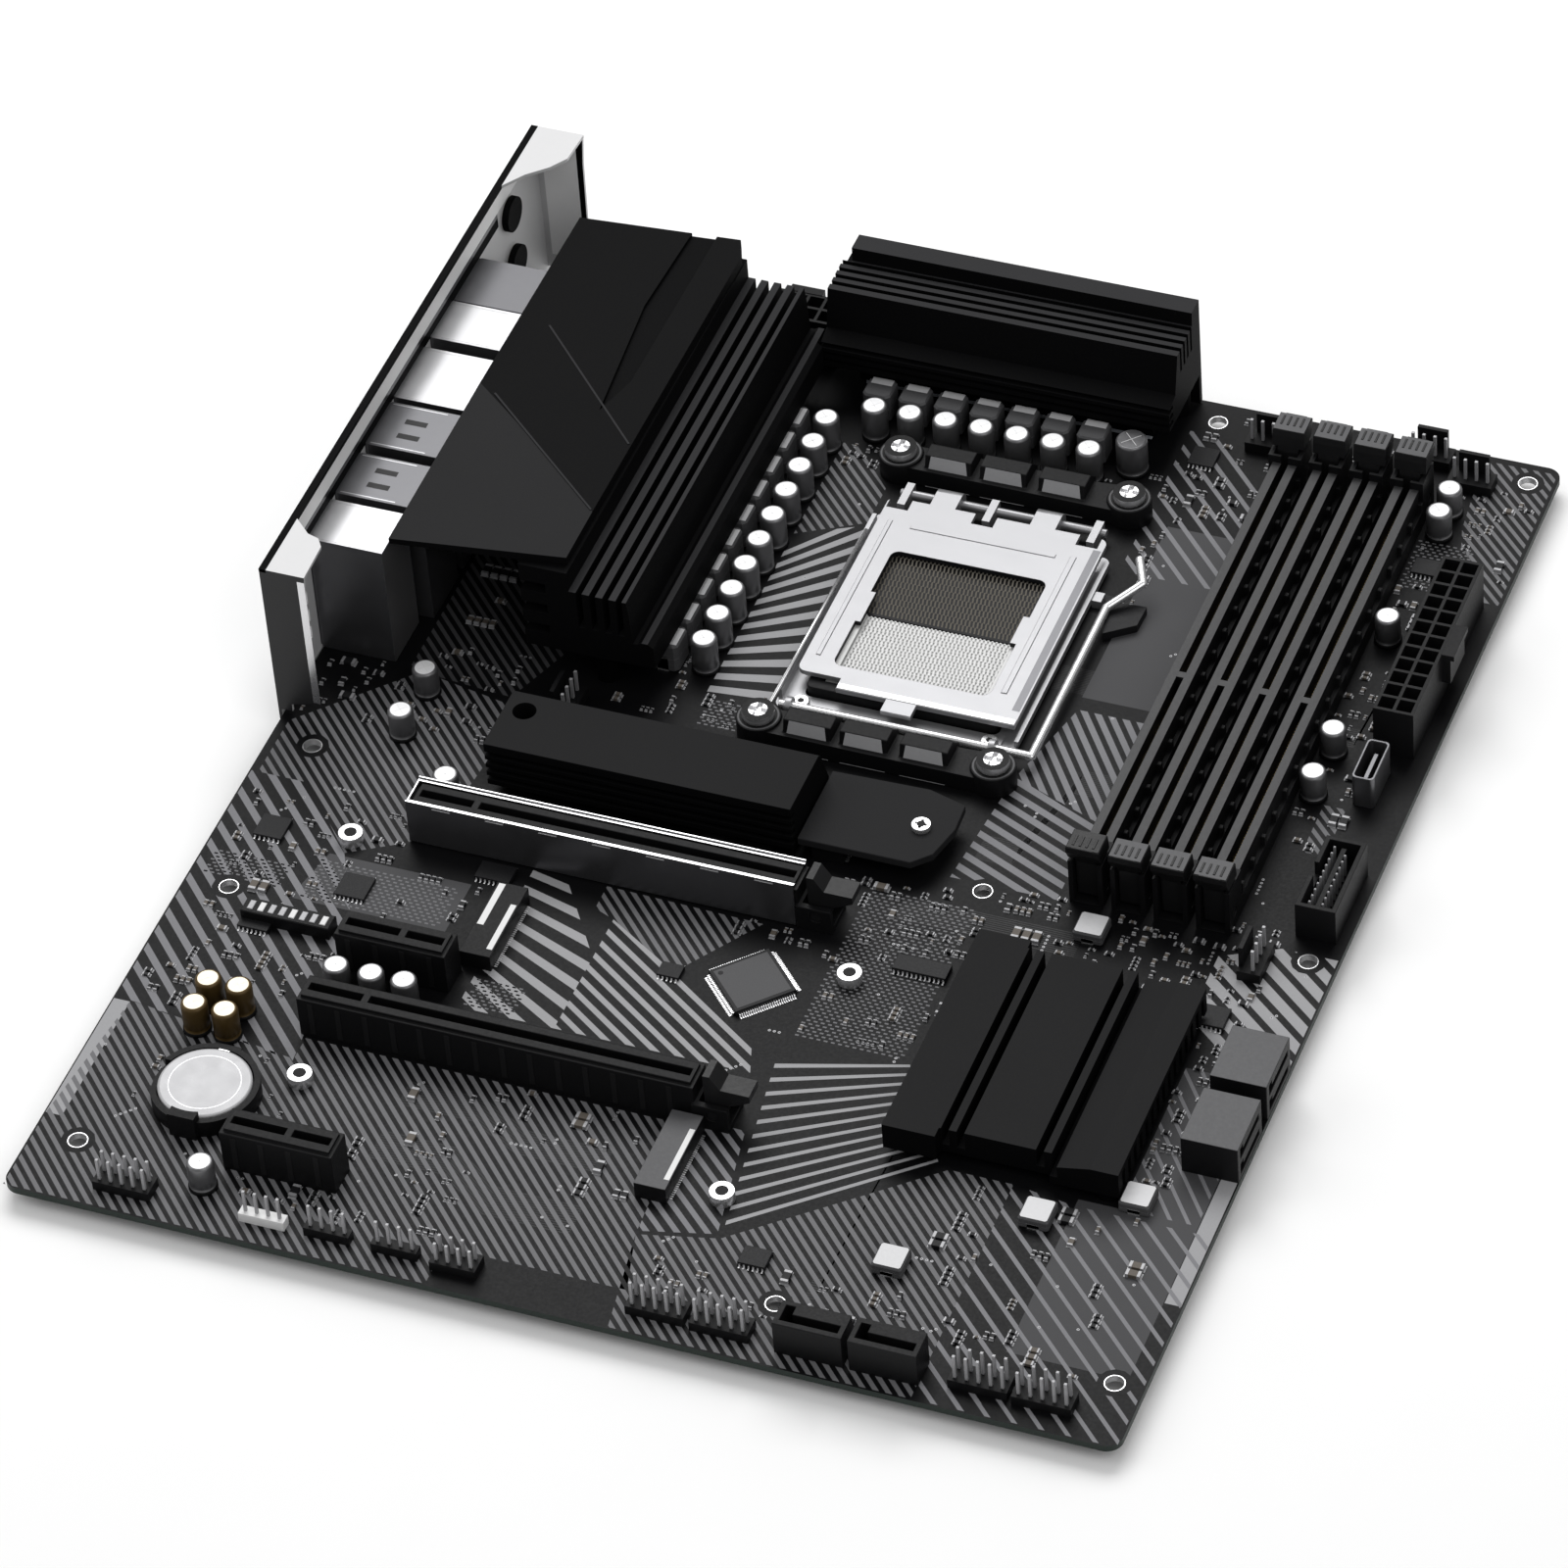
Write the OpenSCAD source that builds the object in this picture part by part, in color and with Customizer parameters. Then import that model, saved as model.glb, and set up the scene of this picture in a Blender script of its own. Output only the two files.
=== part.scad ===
// Full-size desktop computer main board, built as separate pieces.
// Board coordinates run from the corner at the rear edge and the expansion-slot end:
// x toward the front edge, y toward the processor end, z up from the board's top face.
// The part's own origin is the datum mounting hole, with z = 0 at the board's underside.

/* [Board] */
// Board depth from the rear edge to the front edge
board_x = 243.84; // [243.84:0.01:246]
// Board length from the expansion-slot end to the processor end
board_y = 304.8; // [304.8:0.1:308]
// Laminate thickness
board_t = 1.6; // [1.2:0.1:2]
// Corner radius of the laminate
board_r = 3.5; // [2:0.5:4]
// Radius of the mounting holes
hole_r = 1.98; // [1.9:0.01:2]

/* [Heatsinks] */
// Height of the cover plate over the rear ports, above the board
cover_top = 35; // [34.5:0.5:38]
// Height of the rear fins
fin_top = 27; // [25:0.5:29]
// Height of the back ridge of the heatsink at the processor end
ridge_top = 30; // [28:0.5:32]
// Height of the drive heatsink
drive_sink_top = 15; // [14:0.5:17]
// Height of the chipset heatsink
chipset_sink_top = 9; // [8:0.5:11]

/* [Slots] */
// Height of the expansion slots
slot_h = 11.3; // [10.5:0.1:12]
// Width of the expansion slots
slot_w = 7.5; // [7.2:0.1:7.8]
// Height of the memory slot rails
dimm_h = 10; // [9:0.5:11]
// Height of the memory latches
latch_h = 17; // [15:0.5:19]

/* [Processor socket] */
// Socket centre, x
socket_x = 130; // [129:0.5:131]
// Socket centre, y
socket_y = 212; // [211:0.5:213]
// Thickness of the load plate
plate_t = 1.2; // [1:0.1:1.4]

/* [Rear panel] */
// Height of the shield above the board
shield_top = 42; // [41:0.5:44]
// Height of the port stacks
port_h = 32; // [31:0.5:32]
// Clearance between a port and its opening in the shield
port_gap = 0.3; // [0.2:0.05:0.4]

/* [Hidden] */
$fn = 48;
datum = [10.16, 16.51];
sheet = 0.8;
eps = 0.01;
cover_t = 2.8;

// Mounting holes, in board coordinates
near_y = 16.51;
far_y = 298.45;
front_x = 237.49;
mid_x = 165.1;
mount_holes = [
    datum, [10.16, 95.25], [10.16, 140.97], [33.02, far_y],
    [mid_x, near_y], [mid_x, 140.97], [mid_x, far_y],
    [front_x, near_y], [front_x, 140.97], [front_x, far_y]
];

// Cooler mounting pattern around the socket
cooler_c = [129.4, 217.9];
cooler_dx = 54;
cooler_dy = 90;
cooler_holes = [for (i = [-1, 1], j = [-1, 1]) cooler_c + [i * cooler_dx, j * cooler_dy] / 2];
cooler_hole_r = 2.1;

// Screws that hold the heatsinks from below
rear_sink_screws = [[64, 181.3], [64, 283.4]];
top_sink_screws = [[82, 300], [155, 300]];
chipset_screws = [[175, 118], [219.4, 66]];
sink_screws = concat(rear_sink_screws, top_sink_screws, chipset_screws);
screw_r = 1.25;
screw_hole_r = 1.5;
screw_depth = 6;

// Threaded standoffs for the drive modules
drive_sink_c = [57.7, 150.2];
standoffs = [drive_sink_c, [148.5, 149.5], [147.5, 107.5], [144.5, 40.5], [30, 116], [48, 46]];
covered_standoffs = 2;
standoff_r = 2;
standoff_h = 2.6;
thread_r = 0.95;

// Power stages around the socket
phase_pitch = 8.5;
side_phases = 10;
end_phases = 8;
side_phase_y = 189.3;
side_choke_x = 74.9;
side_cap_x = 83.6;
side_fet_x = 63.5;
end_phase_x = 92.6;
end_choke_y = 280.4;
end_cap_y = 272.6;
end_fet_y = 291.2;
choke_w = 7.2;
choke_h = 7.5;
fet_h = 1;
pad_h = 1;
cap_r = 3;
cap_h = 9;
end_caps = 7;

// Sockets for cards and memory
x16_len = 89;
x1_len = 25.2;
slot_x = 42.6;
slot_key_x = 57;
slot_1_y = 123.5;
slot_2_y = 62.5;
x1_slot_ys = [82.8, 21.9];
dimm_pitch = 9.4;
dimm_x0 = 187.5;
dimm_w = 7.6;
dimm_y0 = 144;
dimm_len = 142;
dimm_key_y = 207;
tower_len = 8;
pivot_z = 4;
pivot_r = 1.2;
fit_gap = 0.06;

// Socket hinge and lever axes
hinge_y = socket_y + 41;
hinge_z = 2.7;
lever_y = socket_y - 32;
lever_z = 3.2;
lever_r = 1;
plate_z = 4;
plate_half = 26.5;
hinge_posts = [-23, -3, 21.5];
win_x = 36.2;
win_y = 38.6;

// Rear port stacks: first and last y of each
audio_span = [171.3, 184.5];
usb_spans = [[187, 200.6], [204, 218.4]];
lan_span = [220.4, 237.8];
usb_c_span = [241.6, 254.4];
display_span = [255.6, 270.6];
antenna_y = 288;
antenna_zs = [16.7, 30.8];
antenna_r = 4.2;
shield_x = -1.2;
shield_span = [149, 306.5];

// ---- helpers ----

// Places children in board coordinates, z measured from the board's top face
module at(x, y, z = 0) {
    translate([x - datum.x, y - datum.y, board_t + z]) children();
}

// Box from a corner, in board coordinates
module block(x, y, z, w, d, h) {
    at(x, y, z) cube([w, d, h]);
}

// Plate with rounded upright edges, corner at the origin
module rounded_plate(w, d, h, r) {
    for (x = [r, w - r], y = [r, d - r]) translate([x, y, 0]) cylinder(r = r, h = h);
    translate([r, 0, 0]) cube([w - 2 * r, d, h]);
    translate([0, r, 0]) cube([w, d - 2 * r, h]);
}

// Prism along x from an outline of [y, z] points
module prism_x(x, len, outline) {
    at(x, 0, 0) rotate([90, 0, 90]) linear_extrude(len) polygon(outline);
}

// Prism along y from an outline of [x, z] points
module prism_y(y, len, outline) {
    at(0, y + len, 0) rotate([90, 0, 0]) linear_extrude(len) polygon(outline);
}

// Post that stands between the board and a heatsink, with a blind hole for its screw
module screw_post(p, top) {
    difference() {
        at(p.x, p.y, 0.05) cylinder(r = 3, h = top - 0.05);
        screw_bore(p);
    }
}

module screw_bore(p) {
    at(p.x, p.y, -eps) cylinder(r = screw_r + 0.05, h = screw_depth + 0.5);
}

// ---- board ----

module pcb() {
    color([0.2, 0.2, 0.22]) difference() {
        translate([-datum.x, -datum.y, 0]) rounded_plate(board_x, board_y, board_t, board_r);
        for (p = mount_holes) board_hole(p, hole_r);
        for (p = cooler_holes) board_hole(p, cooler_hole_r);
        for (p = sink_screws) board_hole(p, screw_hole_r);
        for (p = standoffs) board_hole(p, standoff_r + 0.05);
    }
}

module board_hole(p, r) {
    at(p.x, p.y, -board_t - 1) cylinder(r = r, h = board_t + 2);
}

// Ends of the through-hole pins under the board
module solder_pins() {
    color([0.75, 0.75, 0.76]) {
        pin_grid(233.5, 208.1, 2, 12, 4.6, 4.2);
        pin_grid(59.8, 293.6, 4, 2, 4.2, 4.6);
        pin_grid(side_cap_x - 1.25, side_phase_y - 2.2, 2, side_phases, 2.5, phase_pitch);
        pin_grid(end_phase_x - 1.25, end_cap_y, 2 * end_caps, 1, phase_pitch / 2, 2);
        for (s = concat(usb_spans, [lan_span, usb_c_span, display_span]))
            pin_grid(6, s[0] + 2.5, 3, 4, 4.5, 3);
        pin_grid(6, audio_span[0] + 2.5, 3, 3, 4.5, 4);
    }
}

module pin_grid(x, y, nx, ny, dx, dy) {
    for (i = [0 : nx - 1], j = [0 : ny - 1])
        at(x + i * dx, y + j * dy, -board_t - 1.3) cylinder(r = 0.55, h = 1.3, $fn = 16);
}

// ---- rear panel ----

module io_shield() {
    w = shield_span[1] - shield_span[0];
    color([0.86, 0.86, 0.87]) difference() {
        union() {
            block(shield_x, shield_span[0], -board_t - 0.6, sheet, w, shield_top + board_t + 0.6);
            block(shield_x, shield_span[0], shield_top - sheet, 1.6, w, sheet);
            shield_flange(shield_span[0], 9.4);
            shield_flange(shield_span[1] - sheet, 11.6);
            corner_tab([
                [shield_x, 149], [9.4, 149], [9, 159.5], [7.4, 161.8], [4.6, 162.6], [shield_x, 168]
            ]);
            corner_tab([
                [shield_x, 306.5], [11.6, 306.5], [11.2, 297.5], [8.4, 293.4], [4, 289.4], [shield_x, 282]
            ]);
        }
        for (s = concat(usb_spans, [audio_span, lan_span, usb_c_span, display_span]))
            block(shield_x - 1, s[0] - port_gap, 0.6 - port_gap, 3,
                s[1] - s[0] + 2 * port_gap, port_h - 0.6 + 2 * port_gap);
        for (z = antenna_zs)
            at(shield_x - 1, antenna_y, z) rotate([0, 90, 0]) cylinder(r = 3.2, h = 3);
        for (i = [0 : 4], j = [0 : 5])
            block(shield_x - 1, 153 + i * 3.2, 6 + j * 5, 3, 1.8, 3.4);
    }
}

// Side flange of the shield, bent inward
module shield_flange(y, reach) {
    prism_y(y, sheet, [
        [shield_x, 1], [2.2, 1], [2.2, 3], [reach - 1.2, 5],
        [reach - 0.6, shield_top - 8], [reach, shield_top], [shield_x, shield_top]
    ]);
}

// Tab that closes the top of the shield at one of its corners
module corner_tab(outline) {
    at(0, 0, shield_top - sheet) linear_extrude(sheet) polygon(outline);
}

module antenna_jacks() {
    color([0.8, 0.66, 0.36]) for (z = antenna_zs) at(0, antenna_y, z) rotate([0, 90, 0]) {
        difference() {
            union() {
                translate([0, 0, shield_x - 1.8]) cylinder(r = 3, h = 3.8);
                translate([0, 0, shield_x - 1.2]) cylinder(r = antenna_r, h = 1.15, $fn = 6);
                translate([0, 0, shield_x + sheet + 0.05]) cylinder(r = antenna_r, h = 1.6);
            }
            translate([0, 0, shield_x - 1.8 - eps]) cylinder(r = 2.2, h = 2.4);
        }
    }
}

// Body of a port stack: a block behind the shield and a collar through its opening
module port_block(s, depth, h) {
    w = s[1] - s[0];
    block(0, s[0] - 0.2, 0.05, depth, w + 0.4, h - 0.05);
    block(shield_x - 0.6, s[0], 0.6, 2.5, w, h - 0.6);
}

// Opening of one port, entered from the rear
module port_mouth(y, z, w, h, depth) {
    block(shield_x - 1.6, y - w / 2, z - h / 2, depth + 1, w, h);
}

module usb_a_mouth(y, z) {
    difference() {
        port_mouth(y, z, 12.2, 4.6, 13);
        block(shield_x, y - 5.6, z + 0.2, 13, 11.2, 1.7);
    }
}

module audio_jack_stack() {
    y = (audio_span[0] + audio_span[1]) / 2;
    color([0.72, 0.72, 0.73]) difference() {
        port_block(audio_span, 17.3, port_h);
        for (i = [0 : 2])
            at(shield_x - 1, y, 6.2 + i * 10.4) rotate([0, 90, 0]) cylinder(r = 1.8, h = 15);
    }
}

module usb_stacks() {
    color([0.8, 0.8, 0.81]) for (s = usb_spans) difference() {
        port_block(s, 20, port_h);
        for (i = [0 : 3]) usb_a_mouth((s[0] + s[1]) / 2, 5.2 + i * 7.6);
    }
}

module lan_usb_stack() {
    y = (lan_span[0] + lan_span[1]) / 2;
    color([0.85, 0.85, 0.86]) difference() {
        port_block(lan_span, 21, port_h);
        for (i = [0 : 1]) usb_a_mouth(y, 5.2 + i * 7.6);
        port_mouth(y, 23.2, 11.9, 8, 15);
        port_mouth(y, 28.4, 6, 3, 13);
    }
}

module usb_c_stack() {
    y = (usb_c_span[0] + usb_c_span[1]) / 2;
    color([0.85, 0.85, 0.86]) difference() {
        port_block(usb_c_span, 18, port_h);
        usb_a_mouth(y, 5.2);
        usb_a_mouth(y, 12.8);
        port_mouth(y, 23, 9, 3.2, 7);
    }
}

module display_stack() {
    y = (display_span[0] + display_span[1]) / 2;
    color([0.35, 0.35, 0.36]) difference() {
        port_block(display_span, 18, port_h - 0.5);
        port_mouth(y, 7, 14.2, 4.8, 12);
        port_mouth(y, 22, 14.2, 5, 12);
    }
}

// ---- power stage cooling ----

module vrm_heatsink_rear() {
    y0 = 176.5;
    len = 110;
    color([0.24, 0.24, 0.25]) {
        difference() {
            prism_y(y0, len, [
                [47, 9], [60, 9], [60, fet_h + pad_h], [67.2, fet_h + pad_h], [67.2, 9],
                [77.3, 9], [77.3, 15], [76, 16], [74.6, 16], [73.6, 15.4], [72.6, 15.4],
                [72.2, fin_top - 4], [71.8, fin_top], [58.4, fin_top], [58.4, cover_top - cover_t],
                [47, cover_top - cover_t]
            ]);
            for (i = [0 : 3])
                prism_y(y0 - 1, len + 2, [
                    [60.1 + i * 3.1, 17], [61.5 + i * 3.1, 17],
                    [61.5 + i * 3.1, fin_top + 1], [60.1 + i * 3.1, fin_top + 1]
                ]);
            for (i = [0 : 2]) block(45, y0 - 1, 13 + i * 6, 8, len + 2, 2.6);
            block(59, y0 - 1, -1, 10, 9.5, 9.9);
            block(59, y0 + len - 6.5, -1, 10, 8, 9.9);
            block(76, 281.6, 8, 3, 8, 12);
        }
        for (p = rear_sink_screws) screw_post(p, 9.2);
    }
}

module vrm_cover() {
    color([0.3, 0.3, 0.31]) difference() {
        at(0, 0, cover_top - cover_t) linear_extrude(cover_t) polygon([
            [17.6, 174.6], [57.6, 179], [58.2, 284], [56, 289.4], [18, 286.6]
        ]);
        cover_facet([57.4, 194.5], [22, 225], 1.7, 0.19);
        cover_facet([57.4, 217], [25, 250], 0.6, 0);
        at(0, 0, cover_top - 0.9) linear_extrude(2) polygon([
            [46.8, 225.8], [50, 237], [50.4, 290], [44.6, 290], [43.4, 262]
        ]);
    }
}

// Cuts the cover's top face down toward its near corner, below the line from p to q
module cover_facet(p, q, tilt, drop) {
    along = atan2(q.y - p.y, q.x - p.x);
    at(p.x, p.y, cover_top - drop) rotate([0, 0, along]) rotate([-tilt, 0, 0])
        translate([-60, 0, 0]) cube([160, 120, 20]);
}

module vrm_heatsink_top() {
    x0 = 76.4;
    len = 83;
    color([0.24, 0.24, 0.25]) {
        difference() {
            prism_x(x0, len, [
                [282.2, 9], [287.6, 9], [287.6, fet_h + pad_h], [294.8, fet_h + pad_h], [294.8, 9],
                [302.8, 9], [302.8, 0.6], [304.3, 0.6], [304.3, ridge_top], [299.4, ridge_top],
                [299.2, 26.4], [289, 26], [286.8, 16.4], [282.2, 15]
            ]);
            for (i = [0 : 3])
                prism_x(x0 - 1, len + 2, [
                    [290.6 + i * 2.35, 20], [291.7 + i * 2.35, 20],
                    [291.7 + i * 2.35, 28], [290.6 + i * 2.35, 28]
                ]);
            for (i = [0 : 2])
                prism_x(x0 - 1, len + 2, [
                    [281, 10.2 + i * 2], [284.8, 10.2 + i * 2], [284.8, 11.2 + i * 2], [281, 11.2 + i * 2]
                ]);
            block(x0 - 1, 298.9, 24, 3.2, 7, 8);
            block(x0 - 1, 286, -1, 8, 10, 9.9);
            block(x0 + len - 6, 286, -1, 8, 10, 9.9);
        }
        for (p = top_sink_screws) screw_post(p, 9.2);
    }
}

module vrm_thermal_pads() {
    color([0.62, 0.64, 0.66]) {
        block(60, 186.3, fet_h, 7.2, 91, pad_h - 0.02);
        block(84.8, 287.6, fet_h, 68.2, 7.2, pad_h - 0.02);
    }
}

module vrm_mosfets() {
    color([0.1, 0.1, 0.11]) {
        for (i = [0 : side_phases - 1])
            block(side_fet_x - 3, side_phase_y + i * phase_pitch - 2.5, 0, 6, 5, fet_h);
        for (i = [0 : end_phases - 1])
            block(end_phase_x + i * phase_pitch - 5.5, end_fet_y - 3, 0, 5, 6, fet_h);
    }
}

module vrm_chokes() {
    color([0.55, 0.55, 0.56]) {
        for (i = [0 : side_phases - 1])
            choke(side_choke_x, side_phase_y + i * phase_pitch, choke_w, choke_h);
        for (i = [0 : end_caps - 1])
            choke(end_phase_x + i * phase_pitch - 1.5, end_choke_y, choke_w - 0.6, choke_h);
        for (p = [[184, 33.3], [208, 54.4], [226.2, 64.4], [191.5, 135.6]])
            choke(p.x, p.y, 6.6, 3);
    }
}

module choke(x, y, w, h) {
    block(x - w / 2 + 0.4, y - w / 2 + 0.4, 0, w - 0.8, w - 0.8, 0.6);
    at(x - w / 2, y - w / 2, 0.5) rounded_plate(w, w, h - 0.5, 0.8, $fn = 24);
}

// Can capacitor with its vented lid and crimp
module capacitor(x, y, r, h) {
    at(x, y) {
        translate([0, 0, 0.02]) cylinder(r = r + 0.25, h = 1);
        cylinder(r = r, h = h - 0.5);
        translate([0, 0, h - 0.55]) cylinder(r1 = r, r2 = r - 0.5, h = 0.55);
    }
}

module vrm_capacitors() {
    color([0.85, 0.85, 0.86]) {
        for (i = [0 : side_phases - 1])
            capacitor(side_cap_x, side_phase_y + i * phase_pitch, cap_r, cap_h);
        for (i = [0 : end_caps - 1])
            capacitor(end_phase_x + i * phase_pitch, end_cap_y, cap_r, cap_h);
        capacitor(151.8, 278, 3.6, cap_h);
    }
}

module board_capacitors() {
    spots = [
        [27.8, 164.2], [27.8, 150.2], [45, 134.2], [40.6, 12.2], [45, 73.6], [53, 73.6], [60.5, 73.6],
        [223.8, 284.2], [223.8, 276.5], [223.4, 240.5], [223, 203.2], [223, 189.2]
    ];
    color([0.88, 0.88, 0.89]) for (p = spots) capacitor(p.x, p.y, 2.9, 7.5);
}

module audio_capacitors() {
    color([0.78, 0.68, 0.42]) for (x = [21, 28], y = [54, 61.4]) capacitor(x, y, 2.9, 8);
}

// ---- processor socket ----

module socket_housing() {
    color([0.16, 0.16, 0.17]) difference() {
        at(socket_x - 22, socket_y - 25.5) rounded_plate(44, 51, 3.6, 1.5);
        block(socket_x - 19.2, socket_y - 22.8, 2.2, 38.4, 45.6, 3);
    }
}

// Field of contact pads on the seat, in two halves
module socket_contacts() {
    color([0.62, 0.56, 0.46]) {
        block(socket_x - 18.6, socket_y + 0.7, 2.22, 37.2, 21.5, 0.7);
        block(socket_x - 18.6, socket_y - 22.2, 2.22, 37.2, 22.3, 0.7);
    }
}

// Stiffener frame with the hinge pin for the plate and the ears for the lever
module socket_frame() {
    color([0.78, 0.78, 0.79]) {
        difference() {
            at(socket_x - 27.5, socket_y - 31) rounded_plate(55, 66, 1.1, 2);
            at(socket_x - 22.4, socket_y - 25.9, -1) rounded_plate(44.8, 51.8, 4, 1.5);
        }
        block(socket_x - 27.5, socket_y - 28, 1, 1, 60, 2.4);
        block(socket_x + 27, socket_y - 28, 1, 1, 60, 1.6);
        for (x = [-24, 22.8]) lever_ear(socket_x + x);
        for (x = hinge_posts) block(socket_x + x, hinge_y - 5.6, 0, 1.8, 7.4, hinge_z + 1.8);
        at(socket_x - 24, hinge_y, hinge_z) rotate([0, 90, 0]) cylinder(r = 1, h = 48.4);
        block(socket_x + 28, socket_y + 20, 0, 2.2, 3, 2.1);
    }
}

module lever_ear(x) {
    difference() {
        union() {
            block(x, lever_y - 2, 0, 1.4, 4, lever_z);
            at(x, lever_y, lever_z) rotate([0, 90, 0]) cylinder(r = 2, h = 1.4);
            block(x, lever_y, 0, 1.4, 6, 1.6);
        }
        at(x - 1, lever_y, lever_z) rotate([0, 90, 0]) cylinder(r = lever_r + fit_gap, h = 4);
    }
}

module load_plate() {
    y0 = socket_y - 22.6;
    y1 = socket_y + 36.5;
    win_y0 = socket_y - 18.8;
    color([0.9, 0.9, 0.91]) {
        difference() {
            union() {
                at(socket_x - plate_half + 1.5, y0, plate_z)
                    rounded_plate(2 * plate_half - 1.5, y1 - y0, plate_t, 2);
                block(socket_x - 14.7, y0 - 3.4, plate_z, plate_half + 14.7, 5.4, plate_t);
                block(socket_x - 3, lever_y + 2.2, plate_z, 7, 8, plate_t);
            }
            difference() {
                at(socket_x - win_x / 2, win_y0, plate_z - 1) rounded_plate(win_x, win_y, 4, 2);
                block(socket_x - win_x / 2 - 1, win_y0 + 14.5, plate_z - 2, 2.2, 10, 6);
                block(socket_x + win_x / 2 - 1.4, win_y0 + 17.5, plate_z - 2, 2.4, 9, 6);
            }
            for (x = hinge_posts) block(socket_x + x - 1.6, y1 - 3.4, plate_z - 1, 5, 5, 4);
        }
        for (x = [-15.5, 8]) difference() {
            union() {
                block(socket_x + x, y1 - 4, plate_z, 6, hinge_y - y1 + 4, plate_t);
                at(socket_x + x, hinge_y, hinge_z) rotate([0, 90, 0])
                    cylinder(r = plate_z + plate_t - hinge_z, h = 6);
            }
            at(socket_x + x - 1, hinge_y, hinge_z) rotate([0, 90, 0]) cylinder(r = 1 + fit_gap, h = 8);
        }
    }
}

// Wire lever: shaft in the ears, arm up the side and a hooked handle
module load_lever() {
    arm_x = socket_x + 32.4;
    path = [
        [socket_x - 25.5, lever_y, lever_z],
        [arm_x, lever_y, lever_z],
        [arm_x, lever_y + 49.5, lever_z],
        [arm_x + 6.2, lever_y + 56.5, lever_z + 2.6],
        [arm_x + 3.6, lever_y + 62, lever_z + 4.2]
    ];
    color([0.92, 0.92, 0.93]) for (i = [1 : len(path) - 1]) {
        rod(path[i - 1], path[i], lever_r);
        at(path[i].x, path[i].y, path[i].z) sphere(r = lever_r);
    }
}

// Round rod from p to q
module rod(p, q, r) {
    run = norm(q - p);
    at(p.x, p.y, p.z)
        rotate([0, acos((q.z - p.z) / run), atan2(q.y - p.y, q.x - p.x)])
            cylinder(r = r, h = run);
}

module cooler_brackets() {
    color([0.1, 0.1, 0.11]) for (side = [-1, 1]) difference() {
        union() {
            bracket_bar(side);
            for (i = [-1, 1]) at(cooler_c.x + i * cooler_dx / 2, bracket_y(side), 0.1)
                cylinder(r = 5, h = 5.4);
            for (x = [-20.4, -7.4, 6.4])
                prism_x(cooler_c.x + x, 11, [
                    [bracket_y(side) + 5.2, 0.1], [bracket_y(side) + 5.2, 5], [bracket_y(side) + 2, 8],
                    [bracket_y(side) - 2, 8], [bracket_y(side) - 4, 0.1]
                ]);
        }
        for (i = [-1, 1]) at(cooler_c.x + i * cooler_dx / 2, bracket_y(side), -1)
            cylinder(r = 2.3, h = 10);
    }
}

function bracket_y(side) = cooler_c.y + side * cooler_dy / 2;

module bracket_bar(side) {
    block(cooler_c.x - cooler_dx / 2, bracket_y(side) - 4, 0.1, cooler_dx, 8, 4.6);
}

module cooler_backplate() {
    t = 1.6;
    gap = 1.5;
    color([0.2, 0.2, 0.21]) difference() {
        union() {
            at(cooler_c.x - 33, cooler_c.y - 50, -board_t - gap - t) rounded_plate(66, 100, t, 5);
            for (p = cooler_holes) at(p.x, p.y, -board_t - gap - 0.1) cylinder(r = 4, h = gap + 0.08);
        }
        at(cooler_c.x - 15, cooler_c.y - 28, -board_t - 6) rounded_plate(30, 56, 8, 4);
        for (p = cooler_holes) at(p.x, p.y, -board_t - 6) cylinder(r = 1.75, h = 8);
    }
}

module cooler_screws() {
    color([0.7, 0.7, 0.71]) for (p = cooler_holes) difference() {
        at(p.x, p.y) {
            translate([0, 0, -board_t - 3]) cylinder(r = 1.7, h = board_t + 9);
            translate([0, 0, 5.55]) cylinder(r = 3.6, h = 1.8);
        }
        at(p.x - 0.5, p.y - 2.2, 6.6) cube([1, 4.4, 2]);
        at(p.x - 2.2, p.y - 0.5, 6.6) cube([4.4, 1, 2]);
    }
}

// ---- memory slots ----

module dimm_slot(n) {
    x = dimm_x0 + (n - 1) * dimm_pitch;
    color([0.3, 0.3, 0.31]) difference() {
        union() {
            block(x - dimm_w / 2, dimm_y0, 0, dimm_w, dimm_len, 4.5);
            block(x - 2.8, dimm_y0 + 6, 0, 5.6, dimm_len - 12, dimm_h);
            for (y = [dimm_y0 - 0.5, dimm_y0 + dimm_len - tower_len + 0.5])
                block(x - dimm_w / 2, y, 0, dimm_w, tower_len, 12);
        }
        difference() {
            block(x - 0.8, dimm_y0 + 6.5, 3, 1.6, dimm_len - 13, 12);
            block(x - 1, dimm_key_y - 0.9, 0, 2, 1.8, dimm_h);
        }
        for (e = [0, 1]) latch_bay(x, e);
    }
}

// Space at a slot's end for its latch, with the bores for the latch's trunnions
module latch_bay(x, far_end) {
    y = latch_y(far_end);
    block(x - 2.7, far_end ? y - 4 : y - 5, 0.5, 5.4, 9, 14);
    at(x - 5, y, pivot_z) rotate([0, 90, 0]) cylinder(r = pivot_r + fit_gap, h = 10);
}

function latch_y(far_end) = far_end ? dimm_y0 + dimm_len - 2.8 : dimm_y0 + 2.8;

module dimm_latch(n, far_end) {
    x = dimm_x0 + (n - 1) * dimm_pitch;
    y = latch_y(far_end);
    s = far_end ? 1 : -1;
    color([0.22, 0.22, 0.23]) {
        prism_x(x - 2.4, 4.8, [
            [y - s * 2.2, 1.6], [y + s * 1.6, 1.6], [y + s * 2, 11], [y + s * 4.4, 15.4],
            [y + s * 4.4, latch_h], [y - s * 1.4, latch_h], [y - s * 2.4, 11.5]
        ]);
        at(x - 3.6, y, pivot_z) rotate([0, 90, 0]) cylinder(r = pivot_r, h = 7.2);
    }
}

// ---- expansion slots ----

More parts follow.
